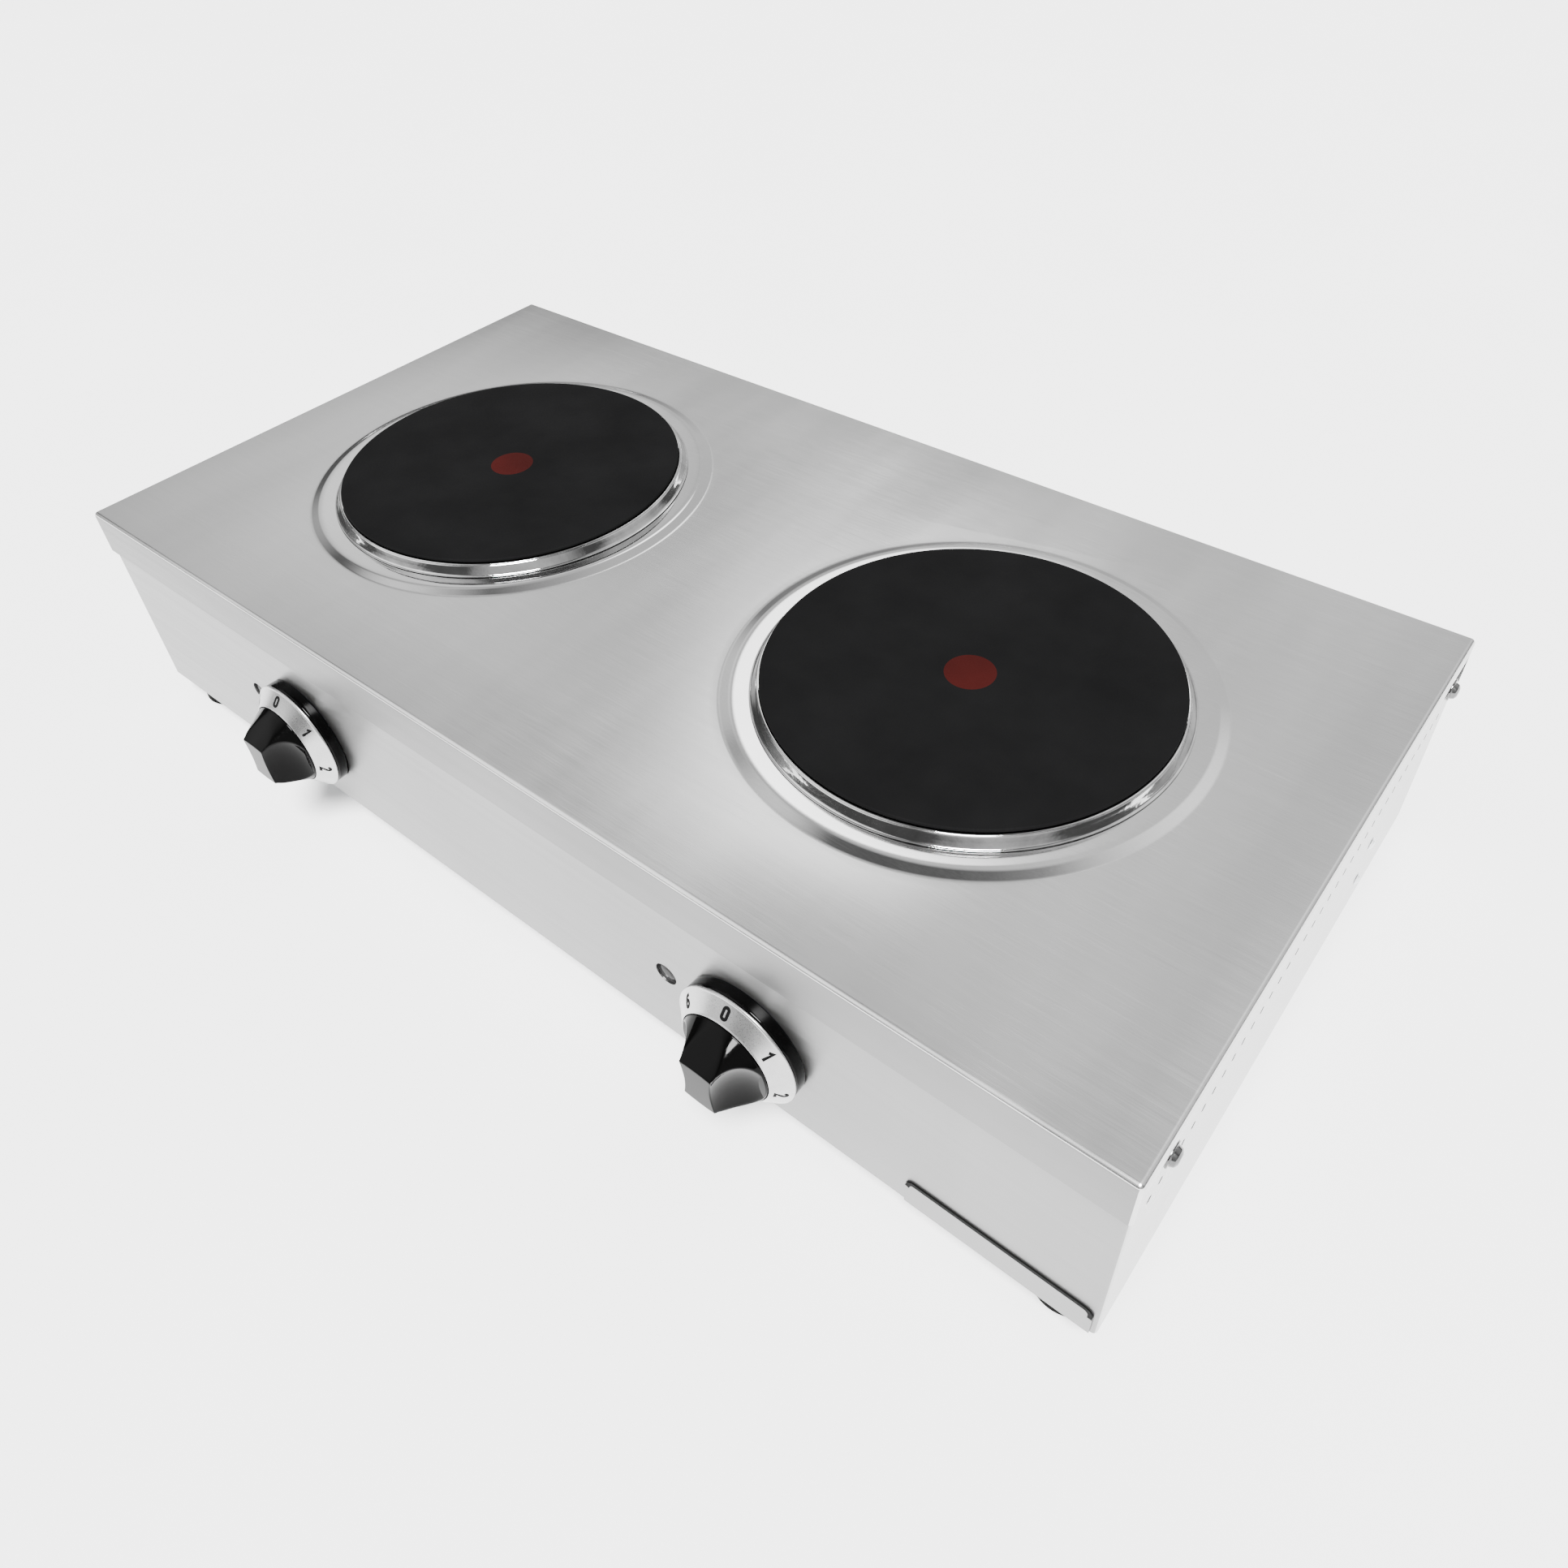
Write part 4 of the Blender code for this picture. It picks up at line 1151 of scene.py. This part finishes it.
def glow_level(tree, where, around, up, inner, outer, level):
    """Strength of one round soft light, fading from its inner to its outer radius."""
    turn, rise, inner, outer = (math.radians(v) for v in (around, up, inner, outer))
    towards = (math.cos(turn) * math.cos(rise), math.sin(turn) * math.cos(rise), math.sin(rise))
    facing = node(tree, "ShaderNodeVectorMath", {1: towards}, operation="DOT_PRODUCT")
    tree.links.new(where, facing.inputs[0])
    return spread(tree, facing.outputs["Value"], 0.0, level, math.cos(outer), math.cos(inner))


def build_sky():
    """Dim even sky with its soft lights added up."""
    world = bpy.data.worlds.new("studio")
    bpy.context.scene.world = world
    world.use_nodes = True
    tree = world.node_tree
    back = tree.nodes["Background"]
    set_inputs(back, {"Color": (*grey(1.0), 1.0)})
    where = node(tree, "ShaderNodeTexCoord").outputs["Generated"]
    split = node(tree, "ShaderNodeSeparateXYZ")
    tree.links.new(where, split.inputs["Vector"])
    total = spread(tree, split.outputs["Z"], SKY_BASE, SKY_BASE * SKY_ZENITH, 0.0, 1.0)
    for glow in SKY_GLOWS:
        add = node(tree, "ShaderNodeMath", operation="ADD")
        tree.links.new(glow_level(tree, where, *glow), add.inputs[0])
        tree.links.new(total, add.inputs[1])
        total = add.outputs[0]
    tree.links.new(total, back.inputs["Strength"])


def add_holder(name, data):
    """Object in the scene that holds a lamp or a camera."""
    holder = bpy.data.objects.new(name, data)
    bpy.context.scene.collection.objects.link(holder)
    return holder


def build_key_light():
    """Wide soft sun from the front right."""
    lamp = bpy.data.lights.new("key", "SUN")
    lamp.energy = KEY_POWER
    lamp.angle = math.radians(KEY_SPREAD)
    holder = add_holder("key", lamp)
    holder.rotation_euler = (-Vector(KEY_FROM)).to_track_quat("-Z", "Y").to_euler()


def build_camera():
    """Camera at the reference view's place and angle."""
    camera = bpy.data.cameras.new("camera")
    camera.sensor_width = 36.0
    camera.lens = CAMERA_LENS
    camera.shift_x, camera.shift_y = CAMERA_SHIFT
    camera.clip_start, camera.clip_end = CAMERA_CLIP
    holder = add_holder("camera", camera)
    holder.location = CAMERA_PLACE
    holder.rotation_euler = [math.radians(v) for v in CAMERA_TURN]
    bpy.context.scene.camera = holder


build_floor()
build_sky()
build_key_light()
build_camera()
